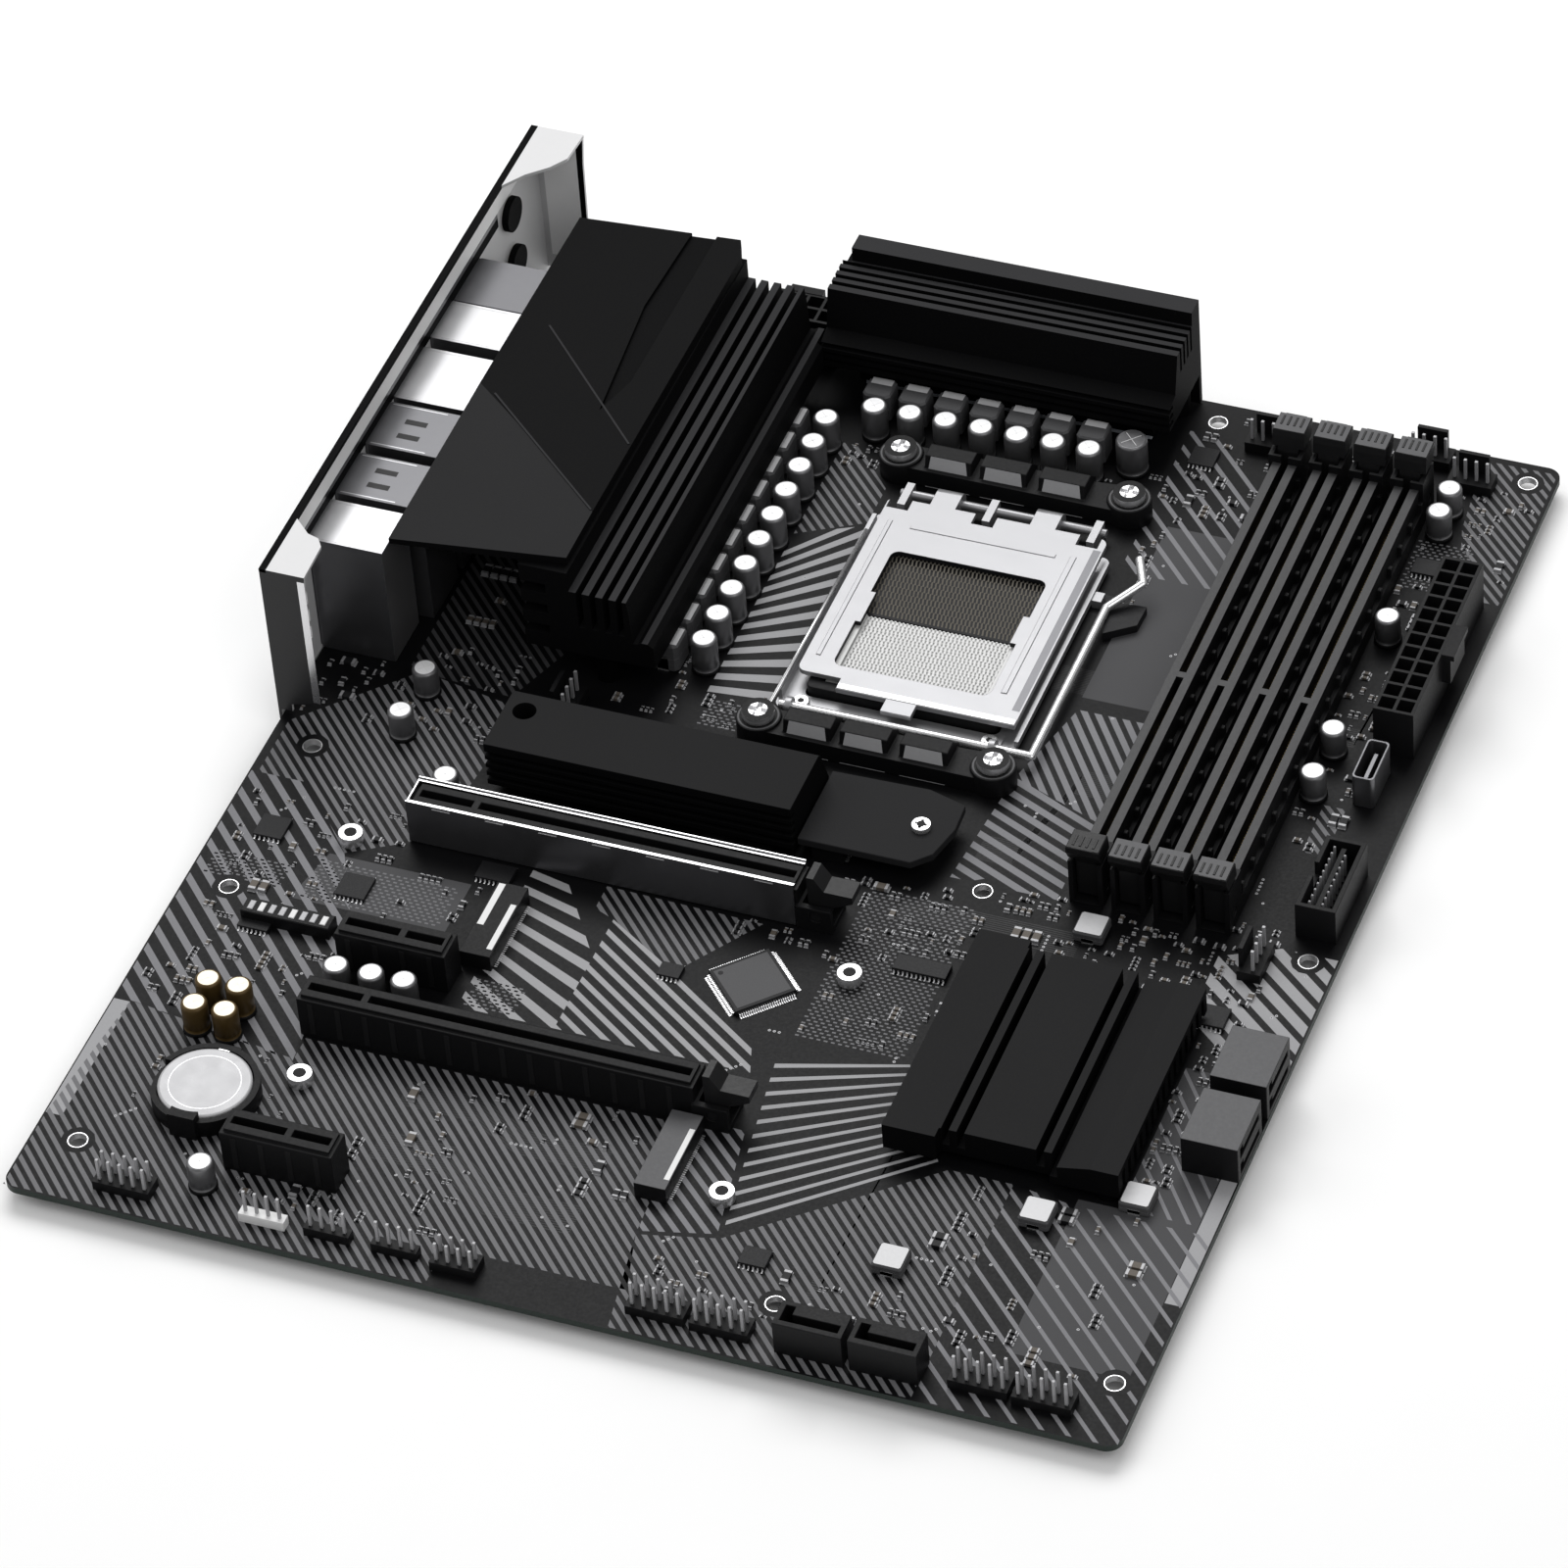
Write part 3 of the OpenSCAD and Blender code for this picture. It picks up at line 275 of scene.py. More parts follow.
GREY_PLASTIC = material("grey_plastic", (0.08, 0.08, 0.084), 0.45, grain=1400, tone=0.12,
                        bump=0.08, spec=0.25)
# Painted highlight: grey for the sloped faces of the black cooler brackets.
BRACKET_HIGHLIGHT = material("bracket_painted_highlight", (0.36, 0.36, 0.37), 0.5, grain=1400, tone=0.12, bump=0.08, spec=0.2)
PALE_PLASTIC = material("pale_plastic", (0.72, 0.72, 0.72), 0.45, grain=1400, tone=0.08, bump=0.06)
COAT_DARK = material("dark_coating", (0.003, 0.003, 0.0033), 0.62, grain=2600, tone=0.25, bump=0.2,
                     spec=0.04)
COAT_MID = material("middle_coating", (0.0055, 0.0055, 0.0058), 0.62, grain=2600, tone=0.2,
                    bump=0.2, spec=0.04)
COAT_GREY = material("grey_coating", (0.015, 0.015, 0.0155), 0.6, grain=2600, tone=0.18, bump=0.2,
                     spec=0.05)
# Paler copy of the coating; on the rear cover's lower-left facet and the chipset heatsink's +x facets it is
# painted highlight.
COAT_PALE_AND_HIGHLIGHT = material("pale_coating_and_painted_highlight", (0.018, 0.018, 0.0188), 0.58, grain=2600, tone=0.15,
                      bump=0.2, spec=0.06)
# Painted highlight: a lighter copy of the dark coating for fin tops and crease lines.
EDGE_HIGHLIGHT = material("painted_edge_highlight", (0.024, 0.024, 0.0255), 0.55, grain=2200, tone=0.15, bump=0.15, spec=0.08)
# Bright steel; on the slot shell's top faces it is painted highlight.
BRIGHT_STEEL_AND_HIGHLIGHT = material("bright_steel_and_painted_highlight", (0.66, 0.66, 0.67), 0.24, metal=1.0, grain=300, tone=0.04, bump=0.003,
                 stretch=(1, 1, 0.2), rough_spread=0.03)
PAINTED = material("painted_steel", (0.012, 0.012, 0.013), 0.4, grain=1800, tone=0.2, bump=0.1, spec=0.25)
SHELL = material("shell_steel", (0.46, 0.46, 0.47), 0.3, metal=0.9, grain=300, tone=0.04, bump=0.004,
                 rough_spread=0.04)
# Painted highlight: a near-white copy of the shield steel for the upper inner band and the far flange.
SHIELD_HIGHLIGHT = material("shield_painted_highlight", (0.9, 0.9, 0.9), 0.5, metal=0.05, grain=400, tone=0.04, bump=0.01)
SHIELD_INSIDE = material("shield_inside", (0.58, 0.58, 0.585), 0.5, metal=0.15, grain=400, tone=0.05,
                         bump=0.01, rough_spread=0.05)
# Dull steel; the strip on the load plate's right edge uses it as painted shade.
DULL_STEEL_AND_SHADE = material("dull_steel_and_painted_shade", (0.13, 0.13, 0.137), 0.34, metal=0.85, grain=300, tone=0.1, bump=0.006,
                      rough_spread=0.05)
PLATE = material("nickel_plate", (0.33, 0.33, 0.34), 0.38, metal=0.7, grain=300, tone=0.05, bump=0.015,
                 stretch=(0.3, 1, 1), rough_spread=0.06)
WIRE = material("lever_wire", (0.82, 0.82, 0.83), 0.25, metal=0.85, grain=500, tone=0.05, bump=0.02)
CAN_TOP = material("can_lid", (0.82, 0.82, 0.83), 0.4, metal=0.25, grain=900, tone=0.05, bump=0.06)
# Can walls; also the lid of the can beside the rear heatsink, as painted shadow.
CAN_WALL_AND_SHADOW = material("can_wall_and_painted_shadow", (0.16, 0.16, 0.165), 0.38, metal=0.7, grain=500, tone=0.08, bump=0.02)
CREAM = material("cream_lid", (0.86, 0.78, 0.6), 0.38, metal=0.2, grain=900, tone=0.08, bump=0.06)
SLEEVE = material("gold_sleeve", (0.08, 0.05, 0.016), 0.4, metal=0.4, grain=900, tone=0.15,
                  bump=0.06, spec=0.3)
FERRITE = material("pressed_ferrite", (0.07, 0.07, 0.073), 0.6, grain=2400, tone=0.25, bump=0.35, spec=0.25)
# Coil tops; on the power chokes only a pale strip, as painted highlight.
COIL_TOP_AND_HIGHLIGHT = material("coil_top_and_painted_highlight", (0.58, 0.58, 0.59), 0.5, metal=0.1, grain=1500, tone=0.1, bump=0.15)
EPOXY = material("chip_epoxy", (0.008, 0.008, 0.009), 0.5, grain=2600, tone=0.2, bump=0.2, spec=0.2)
EPOXY_GREY = material("marked_epoxy", (0.07, 0.07, 0.073), 0.5, grain=2600, tone=0.2, bump=0.2, spec=0.2)
CERAMIC = material("chip_ceramic", (0.1, 0.085, 0.07), 0.5, grain=2000, tone=0.25, bump=0.1, spec=0.25)
RESIN = material("green_resin", (0.012, 0.02, 0.016), 0.45, grain=1500, tone=0.2, bump=0.1, spec=0.2)
CELL = material("cell_steel", (0.44, 0.44, 0.45), 0.42, metal=0.2, grain=300, tone=0.04, bump=0.02)
BRASS = material("brass", (0.6, 0.46, 0.2), 0.3, metal=1.0, grain=900, tone=0.1, bump=0.04)
PAD = material("thermal_pad", (0.4, 0.42, 0.46), 0.8, grain=1800, tone=0.1, bump=0.3)
FLOOR = material("studio_floor", (0.95, 0.95, 0.95), 0.85, grain=60, tone=0.01, bump=0.0, spec=0.1)


def dress(node, materials, rule=None, edge=0.15):
    """Gives a CAD node its materials, face by face, and rounds its edges."""
    obj = NODES[node]
    obj.data.materials.clear()
    for m in materials:
        obj.data.materials.append(m)
    low, high = board_box(node)
    for poly in obj.data.polygons:
        poly.material_index = 0
        if rule:
            c = poly.center * 1000 + Vector((DATUM[0], DATUM[1], -BOARD_T))
            poly.material_index = rule(c, poly.normal, low, high)
    if edge:
        weld = obj.modifiers.new("weld", "WELD")
        weld.merge_threshold = 1e-6
        merge = obj.modifiers.new("merge", "DECIMATE")
        merge.decimate_type = "DISSOLVE"
        merge.angle_limit = math.radians(1)
        merge.delimit = {"MATERIAL"}
        bevel = obj.modifiers.new("bevel", "BEVEL")
        bevel.width = edge / 1000
        bevel.segments = 2
        bevel.limit_method = "ANGLE"
        bevel.angle_limit = math.radians(35)
        bevel.harden_normals = False


# ---- printed artwork ----

def clip(points, nx, ny, limit):
    """Part of a convex outline where nx*x + ny*y <= limit."""
    out = []
    for i, p in enumerate(points):
        q = points[(i + 1) % len(points)]
        dp = nx * p[0] + ny * p[1] - limit
        dq = nx * q[0] + ny * q[1] - limit
        if dp <= 0:
            out.append(p)
        if dp * dq < 0:
            t = dp / (dp - dq)
            out.append((p[0] + t * (q[0] - p[0]), p[1] + t * (q[1] - p[1])))
    return out


def around_hole(points, cx, cy, r, sides=12):
    """Splits a convex outline into convex pieces that leave a round hole free."""
    pieces = []
    rest = points
    for i in range(sides):
        a = 2 * math.pi * i / sides
        nx, ny = math.cos(a), math.sin(a)
        limit = nx * cx + ny * cy + r
        outside = clip(rest, -nx, -ny, -limit)
        if len(outside) > 2:
            pieces.append(outside)
        rest = clip(rest, nx, ny, limit)
        if len(rest) < 3:
            break
    return pieces


def lay(shape, points, z, slot):
    """Adds a flat convex patch, cut clear of the board's holes."""
    patches = [points]
    for cx, cy, r in CLEAR_DISCS:
        near = []
        for patch in patches:
            xs = [p[0] for p in patch]
            ys = [p[1] for p in patch]
            apart = min(xs) > cx + r or max(xs) < cx - r or min(ys) > cy + r or max(ys) < cy - r
            near += [patch] if apart else around_hole(patch, cx, cy, r)
        patches = near
    for patch in patches:
        shape.face([(x, y, z) for x, y in patch], slot)


CLEAR_DISCS = [(x, y, 3.6) for x, y in MOUNT_HOLES]
CLEAR_DISCS += [(COOLER[0] + 27 * i, COOLER[1] + 45 * j, 3) for i in (-1, 1) for j in (-1, 1)]
CLEAR_DISCS += [(x, y, 2.4) for x, y in [(57.7, 150.2), (148.5, 149.5), (147.5, 107.5), (144.5, 40.5),
                                         (30, 116), (48, 46), (64, 181.3), (64, 283.4), (82, 300),
                                         (155, 300), (175, 118), (219.4, 66)]]

# Each field of printed lines: outline, angle in degrees, pitch, line width, material slot.
LINE_FIELDS = [
    ([(0.4, 0.4), (95, 0.4), (95, 44), (4, 57.5), (0.4, 22)], -45, 2.0, 1.0, 3),
    ([(44, 51.6), (95, 44), (95, 58), (44, 58)], -45, 2.0, 1.0, 3),
    ([(95, 11), (135, 11), (131, 26), (129, 58), (95, 58)], -45, 2.0, 1.0, 3),
    ([(135, 0.4), (200, 0.4), (200, 20), (186, 62), (148, 30)], -45, 2.0, 1.0, 3),
    ([(135, 0.4), (148, 30), (131, 26)], -45, 2.0, 1.0, 3),
    ([(186, 62), (200, 20), (200, 62)], -45, 2.0, 1.0, 3),
    ([(131, 27), (147, 31), (142, 60), (129, 60)], -42, 2.65, 1.2, 0),
    ([(0.4, 58), (44, 51), (40, 92), (30, 112), (14, 130), (0.4, 130)], -45, 3.95, 1.6, 0),
    ([(14, 130), (30, 112), (42, 119), (48, 139), (50, 165), (24, 170), (2, 147), (2, 130)],
     -45, 2.0, 1.0, 3),
    ([(200, 0.4), (214, 0.4), (214, 60), (200, 62)], -44, 3.95, 1.0, 0),
    ([(214, 0.4), (243.4, 0.4), (243.4, 60), (214, 60)], -44, 3.95, 0.9, 0),
    ([(223, 62), (239.5, 62), (239.5, 79), (231, 92), (231, 104), (223, 104)], -53, 3.24, 0.8, 0),
    ([(219, 119), (231, 106), (243.4, 106), (243.4, 143), (231, 143), (219, 137)], -39, 4.1, 2.5, 1),
    ([(93, 76), (137, 76), (134, 85), (111, 99), (93, 110)], -34, 3.1, 1.3, 1),
    ([(88, 112), (93, 110), (111, 99), (124, 118), (88, 119)], -45, 2.0, 1.0, 3),
    ([(157, 143), (181, 143), (181, 168), (160, 176)], -24, 3.4, 1.7, 0),
    ([(160, 176), (181, 168), (181, 200), (166, 200)], -54, 2.6, 1.4, 0),
    ([(86.5, 236), (101, 244), (101, 256), (90, 268), (86.5, 268)], -45, 2.0, 0.9, 3),
    ([(160, 245), (182.5, 245), (182.5, 278), (168, 294), (160, 294)], -46, 3.84, 1.1, 0),
    ([(234, 258), (243, 258), (243, 303), (226, 303), (228, 280)], -45, 2.0, 0.9, 3),
    ([(226, 172), (231, 172), (231, 187), (226, 187)], -45, 2.0, 1.0, 3),
    ([(21, 170), (46, 168), (52, 184), (52, 300), (21, 300)], -45, 2.0, 0.9, 2),
]
# Lines that spread like a fan: left edge, right edge, count, share of the pitch, slot, outline.
FANS = [
    (((141, 80), (148, 31)), ((168, 88), (184, 62)), 12, 0.3, 1,
     [(141, 84), (141, 31), (184, 31), (184, 62), (168, 88)]),
    (((71, 119), (71, 76)), ((93, 114.5), (93, 60)), 9, 0.42, 1,
     [(71, 76), (93, 76), (93, 98), (80, 117), (71, 119)]),
    (((86.5, 178), (86.5, 232)), ((101, 178), (101, 250)), 13, 0.48, 1,
     [(86.5, 182), (101, 182), (101, 243), (86.5, 236)]),
]
# Plain printed patches: outline, material slot.
PLAIN_FIELDS = [
    ([(0.3, 22), (4, 22), (4, 57), (0.3, 57)], 1),
    ([(240, 40), (243.5, 40), (243.5, 79), (240, 79)], 1),
    ([(165.5, 204), (182.8, 204), (182.8, 262), (165.5, 262)], 2),
    ([(24, 96), (60, 96), (60, 111), (27, 111)], 2),
    ([(214, 18), (239.8, 18), (239.8, 62), (214, 62)], 2),
    ([(223, 62), (239.8, 62), (239.8, 79), (231, 92), (231, 104), (223, 104)], 2),
]
# Fields of short dashes: low corner, high corner.
DASH_FIELDS = [((142, 89), (167, 136)), ((26, 97), (59, 110)), ((72, 77), (84, 86)),
               ((220, 258), (233, 275)), ((88, 172), (99, 181)), ((3, 98), (22, 106)), ((86, 60), (122, 74))]
DASH_STEP = (1.6, 0.95)
DASH_SIZE = (0.85, 0.42)


def printed_artwork():
    """The printed stripes, fans, patches and dashes, laid in thin layers on the mask."""
    art = Shape()
    for outline, slot in PLAIN_FIELDS:
        lay(art, outline, 0.012, slot)
    for outline, angle, pitch, width, slot in LINE_FIELDS:
        nx = -math.sin(math.radians(angle))
        ny = math.cos(math.radians(angle))
        reach = [nx * x + ny * y for x, y in outline]
        level = math.floor(min(reach) / pitch) * pitch
        while level < max(reach):
            line = clip(clip(outline, nx, ny, level + width), -nx, -ny, -level)
            if len(line) > 2:
                lay(art, line, LINE_Z, slot)
            level += pitch
    for left, right, count, share, slot, outline in FANS:
        for k in range(count):
            strip = [between(left, k / count), between(right, k / count),
                     between(right, (k + share) / count), between(left, (k + share) / count)]
            for (ax, ay), (bx, by) in zip(outline, outline[1:] + outline[:1]):
                turn = 1 if outline_area(outline) > 0 else -1
                nx, ny = turn * (by - ay), -turn * (bx - ax)
                strip = clip(strip, nx, ny, nx * ax + ny * ay)
            if len(strip) > 2:
                lay(art, strip, LINE_Z, slot)
    for low, high in DASH_FIELDS:
        columns, rows = [int((high[k] - low[k]) / DASH_STEP[k]) for k in (0, 1)]
        for j in range(rows):
            for i in range(columns):
                x = low[0] + i * DASH_STEP[0] + (DASH_STEP[0] / 2 if j % 2 else 0)
                y = low[1] + j * DASH_STEP[1]
                x1, y1 = x + DASH_SIZE[0], y + DASH_SIZE[1]
                lay(art, [(x, y), (x1, y), (x1, y1), (x, y1)], LINE_Z, 3)
    return art.build("printed_artwork", [PRINT, PRINT_PALE, PRINT_DIM, PRINT_FAINT], weld=False)


def between(edge, t):
    """Point a share t of the way along an edge."""
    (ax, ay), (bx, by) = edge
    return ax + t * (bx - ax), ay + t * (by - ay)


def outline_area(points):
    """Signed area of an outline, positive when it runs anticlockwise."""
    return sum(a[0] * b[1] - b[0] * a[1] for a, b in zip(points, points[1:] + points[:1])) / 2


def buried_traces():
    """Bundles of signal traces under the mask, each bundle turning twice."""
    traces = Shape()
    bundles = [((160, 150), (183, 175), 14, 0.55), ((158, 205), (184, 215), 16, 0.5),
               ((158, 230), (184, 236), 14, 0.5), ((150, 128), (190, 128), 12, 0.6),
               ((90, 128), (118, 140), 14, 0.6), ((224, 206), (231, 232), 10, 0.6),
               ((170, 20), (176, 60), 10, 0.6), ((70, 30), (118, 22), 14, 0.6),
               ((70, 46), (118, 40), 12, 0.6)]
    for (x0, y0), (x1, y1), count, pitch in bundles:
        for k in range(count):
            off = k * pitch
            path = [(x0, y0 + off), (x0 + (x1 - x0) * 0.35, y0 + off),
                    (x0 + (x1 - x0) * 0.6, y1 + off), (x1, y1 + off)]
            for (ax, ay), (bx, by) in zip(path, path[1:]):
                length = math.hypot(bx - ax, by - ay) or 1
                ox, oy = -(by - ay) / length * 0.11, (bx - ax) / length * 0.11
                lay(traces, [(ax - ox, ay - oy), (bx - ox, by - oy), (bx + ox, by + oy), (ax + ox, ay + oy)],
                    0.008, 0)
    return traces.build("buried_traces", [COPPER], weld=False)


def plated_rings():
    """Tinned rings around the mounting holes on both faces, and under the cooler holes."""
    rings = Shape()
    for x, y in MOUNT_HOLES:
        rings.flat_ring(x, y, 2.0, 2.2, 0.03)
        rings.flat_ring(x, y, 2.0, 3.3, -BOARD_T - 0.03)
    for i in (-1, 1):
        for j in (-1, 1):
            rings.flat_ring(COOLER[0] + 27 * i, COOLER[1] + 45 * j, 2.12, 3.2, -BOARD_T - 0.03)
    return rings.build("plated_rings", [TIN], weld=False)


# ---- small components ----

# Places that scattered parts keep clear of, as x0, y0, x1, y1: first the CAD nodes that are one compact
# piece, then small round parts, then zones of groups and of larger printed areas.
SPREAD_NODES = (
    "pcb", "solder_pins", "cooler_backplate", "board_screws", "ic_packages", "board_capacitors",
    "pin_headers", "audio_capacitors", "fan_headers", "m2_standoffs", "vrm_capacitors", "vrm_chokes",
    "vrm_mosfets", "vrm_thermal_pads", "io_shield", "pcie_x1_slots", "m2_sockets", "sata_ports",
    "front_usb_headers", "cooler_screws", "cooler_brackets", "usb_stacks", "vrm_cover", "load_lever",
    "antenna_jacks")
BUSY = [board_box(n) for n in NODES if n not in SPREAD_NODES]
BUSY = [(low.x, low.y, high.x, high.y) for low, high in BUSY]
for spots, margin in ((SIDE_CAPS + END_CAPS + BOARD_CAPS + GOLD_CAPS + MOUNT_HOLES, 3.6),
                      (DRIVE_STANDOFFS + FLAT_COILS, 3.2)):
    BUSY += [(x - margin, y - margin, x + margin, y + margin) for x, y in spots]
BUSY += [(71, 76, 112, 112), (141, 31, 184, 86), (95, 0, 135, 11), (160, 176, 171, 206)]
BUSY += [(42, 18, 68.5, 26), (42, 79, 68.5, 87), (66, 87, 75, 111), (126, 35, 135, 59), (126, 139, 135, 163),
         (97, 168, 162, 178.5), (97, 258, 162, 268.6), (231, 146, 242, 170), (232, 188, 239.5, 202),
         (231, 75, 244, 110), (169, 3.5, 201, 11.5), (18, 4, 133.5, 10), (136, 4, 233, 10.6),
         (70, 185, 78.5, 276),
         (87, 276.5, 147, 284.5), (0, 186, 22, 219), (117, 90, 140, 112), (147.5, 274, 156, 282.5),
         (107, 96, 114, 101.5), (154, 112, 168, 117.5), (8, 110, 16.5, 118.5), (32, 98, 41, 107),
         (16, 83, 25, 92), (218, 115, 228, 123), (59, 112, 69, 118), (153, 23, 161, 30),
         (162, 282, 170, 289), (221, 261, 229, 268),
         (172, 290, 185, 296), (208, 291, 232.5, 302), (224, 131, 231, 142.5), (56, 162.5, 63, 174),
         (16, 85, 38, 92)]
TAKEN = []

# Clusters of small chip parts: low corner, high corner, how many.
CLUSTERS = [
    ((3, 150), (50, 176), 34), ((20, 176), (56, 296), 30), ((68, 166), (100, 184), 18),
    ((79, 186), (81, 276), 16), ((86, 262), (158, 269), 16), ((146, 268), (182, 302), 24),
    ((158, 232), (167, 266), 8), ((220, 172), (231, 300), 36), ((232, 258), (242, 294), 12),
    ((183, 288), (222, 302), 18), ((142, 88), (170, 141), 26), ((170, 122), (230, 142), 32),
    ((176, 126), (232, 148), 30), ((220, 66), (231, 130), 22), ((184, 26), (232, 60), 16),
    ((4, 96), (68, 126), 34), ((4, 60), (42, 96), 26), ((14, 26), (48, 52), 8), ((66, 12), (94, 34), 16),
    ((72, 34), (126, 58), 18), ((112, 112), (142, 119), 8), ((136, 12), (238, 26), 26),
    ((33, 12), (66, 18), 6), ((136, 119), (168, 140), 16), ((100, 178), (160, 184), 12),
]
CHIP_SIZES = [(1.0, 0.55, 0.4), (1.6, 0.85, 0.55), (1.6, 0.85, 0.75), (2.1, 1.25, 0.7), (3.2, 1.7, 0.9)]


def free_spot(x, y, half):
    """True where a square part of this half width is clear of everything placed so far."""
    if not (1.2 + half < x < BOARD[0] - 1.2 - half and 1.2 + half < y < BOARD[1] - 1.2 - half):
        return False
    for x0, y0, x1, y1 in BUSY:
        if x0 - half < x < x1 + half and y0 - half < y < y1 + half:
            return False
    return all(abs(x - u) > half + r + 0.15 or abs(y - v) > half + r + 0.15 for u, v, r in TAKEN)


def chip_parts():
    """Resistors, small capacitors and three-leg parts scattered in clusters."""
    chips = Shape()
    for low, high, count in CLUSTERS:
        placed = 0
        for _ in range(count * 14):
            if placed == count:
                break
            w, d, h = CHIP_SIZES[rng.choices(range(5), (30, 34, 18, 12, 6))[0]]
            run = rng.choice((1, 1, 2, 3, 4))
            step = d + 0.55
            half = max(w, run * step) / 2
            x = rng.uniform(low[0], high[0])
            y = rng.uniform(low[1], high[1])
            if not free_spot(x, y, half):
                continue
            TAKEN.append((x, y, half))
            placed += 1
            upright = rng.random() < 0.5
            body = rng.choice((0, 0, 2))
            for k in range(run):
                off = (k - (run - 1) / 2) * step
                cx, cy = (x + off, y) if upright else (x, y + off)
                chip(chips, cx, cy, w, d, h, upright, body)
    return chips.build("chip_parts", [EPOXY, CHIP_END, CERAMIC], weld=False)


def chip(shape, x, y, w, d, h, upright, body):
    """One two-ended part with its end caps and solder lands."""
    cap = w * 0.22
    land = 0.36

    def block(along, z, length, width, height, slot, edge):
        """Box on the part's centre line, some way along it."""
        cx, cy, sx, sy = (x, y + along, width, length) if upright else (x + along, y, length, width)
        shape.box(cx - sx / 2, cy - sy / 2, z, sx, sy, height, slot, edge=edge)
    block(0, 0.02, w - 0.04, d - 0.04, h - 0.04, body, 0.05)
    for s in (-1, 1):
        block(s * (w / 2 - cap / 2), 0.02, cap, d, h, 1, 0.06)
        block(s * (w / 2 + 0.12), 0.01, land, d + 0.16, 0.09, 1, 0.05)


def via_field():
    """Tinned vias and test points, in short rows."""
    vias = Shape()
    for _ in range(230):
        x = rng.uniform(4, BOARD[0] - 4)
        y = rng.uniform(4, BOARD[1] - 4)
        if not free_spot(x, y, 0.6):
            continue
        row = rng.choice((1, 1, 2, 3, 5))
        dx, dy = rng.choice(((1.1, 0), (0, 1.1), (0.8, 0.8)))
        for k in range(row):
            if free_spot(x + k * dx, y + k * dy, 0.4):
                vias.flat_ring(x + k * dx, y + k * dy, 0.14, 0.34, 0.03, 0, sides=8)
                vias.disc(x + k * dx, y + k * dy, 0.14, 0.028, 1, sides=8)
    return vias.build("vias", [CHIP_END, MASK], weld=False)


def can_capacitor(shape, x, y, r, h, top, side):
    """Can with a crimped foot, a rolled shoulder and a scored lid."""
    foot = [(0.2, 0.05), (0.2, 0.7), (-0.02, 0.95), (-0.25, 1.35), (-0.25, 1.7), (-0.02, 2.05)]
    lid = [(-0.02, 0.7), (-0.12, 0.35), (-0.4, 0.08), (-0.62, 0.02), (-0.7, 0.06)]
    profile = [(r + out, z) for out, z in foot] + [(r + out, h - down) for out, down in lid]
    slots = [2, 2] + [side] * 8 + [top]
    shape.lathe(x, y, profile, 32, side, slots, top)
    for angle in (45, 135):
        shape.turned_box(x, y, h - 0.07, 2 * r - 2.2, 0.12, 0.025, angle, 3)


def capacitors():
    """The can capacitors of the power rows, of the board and of the audio part."""
    plain = [CAN_TOP, CAN_WALL_AND_SHADOW, BLACK, PALE_PLASTIC]
    for name, node, slot, spots, r, h, materials in (
            ("power_cans", "vrm_capacitors", "can", SIDE_CAPS + END_CAPS, 3, 9, plain),
            ("board_cans", "board_capacitors", "can", BOARD_CAPS, 2.9, 7.5, plain),
            ("audio_cans", "audio_capacitors", "gold_can", GOLD_CAPS, 2.9, 8, [CREAM, SLEEVE, BLACK, CREAM])):
        cans = Shape()
        for x, y in spots:
            can_capacitor(cans, x, y, r, h, 0, 1)
        # The large can beside the rear heatsink has a dark lid: painted shadow of the heatsink, in the wall
        # material.
        if node == "vrm_capacitors":
            can_capacitor(cans, 151.8, 278, 3.6, 9, 1, 1)
        obj = cans.build(name, materials)
        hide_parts(node)


def chokes():
    """Moulded power chokes with a seam and side leads, and flat square inductors."""
    coils = Shape()
    spots = [(74.9, 189.3 + 8.5 * i, 7.2, 7.5, 0) for i in range(10)]
    spots += [(91.1 + 8.5 * i, 280.4, 6.6, 7.5, 1) for i in range(7)]
    spots += [(x, y, 6.6, 3, 2) for x, y in FLAT_COILS]
    for x, y, w, h, kind in spots:
        corner = 0.35 if kind == 2 else 0.9

        def ring(inset, z):
            a = w / 2 - inset
            b = a - corner
            corners = [(-b, -a), (b, -a), (a, -b), (a, b), (b, a), (-b, a), (-a, b), (-a, -b)]
            return [(x + u, y + v, z) for u, v in corners]
        rings = [ring(0.25, 0.05), ring(0, 0.5), ring(0, h * 0.5 - 0.1), ring(0.12, h * 0.5),
                 ring(0, h * 0.5 + 0.1), ring(0, h - 0.45), ring(0.35, h)]
        coils.solid(rings, 0, 1 if kind == 2 else 0)
        for s in (-1, 1):
            coils.box(x - 1.3, y + s * (w / 2 - 0.1) - 0.1, 0.05, 2.6, 0.2, h * 0.55, 2, edge=0.05)
        # A pale strip on each power choke's top is painted highlight on the part of the top the light
        # reaches.
        if kind == 0:
            coils.box(x + 1.2, y - 2.7, h - 0.01, 2.0, 5.4, 0.05, 1, edge=0.02)
        if kind == 1:
            coils.box(x - 2.5, y + 0.8, h - 0.01, 5.0, 2.0, 0.05, 1, edge=0.02)
    obj = coils.build("moulded_chokes", [FERRITE, COIL_TOP_AND_HIGHLIGHT, TIN])
    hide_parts("vrm_chokes")


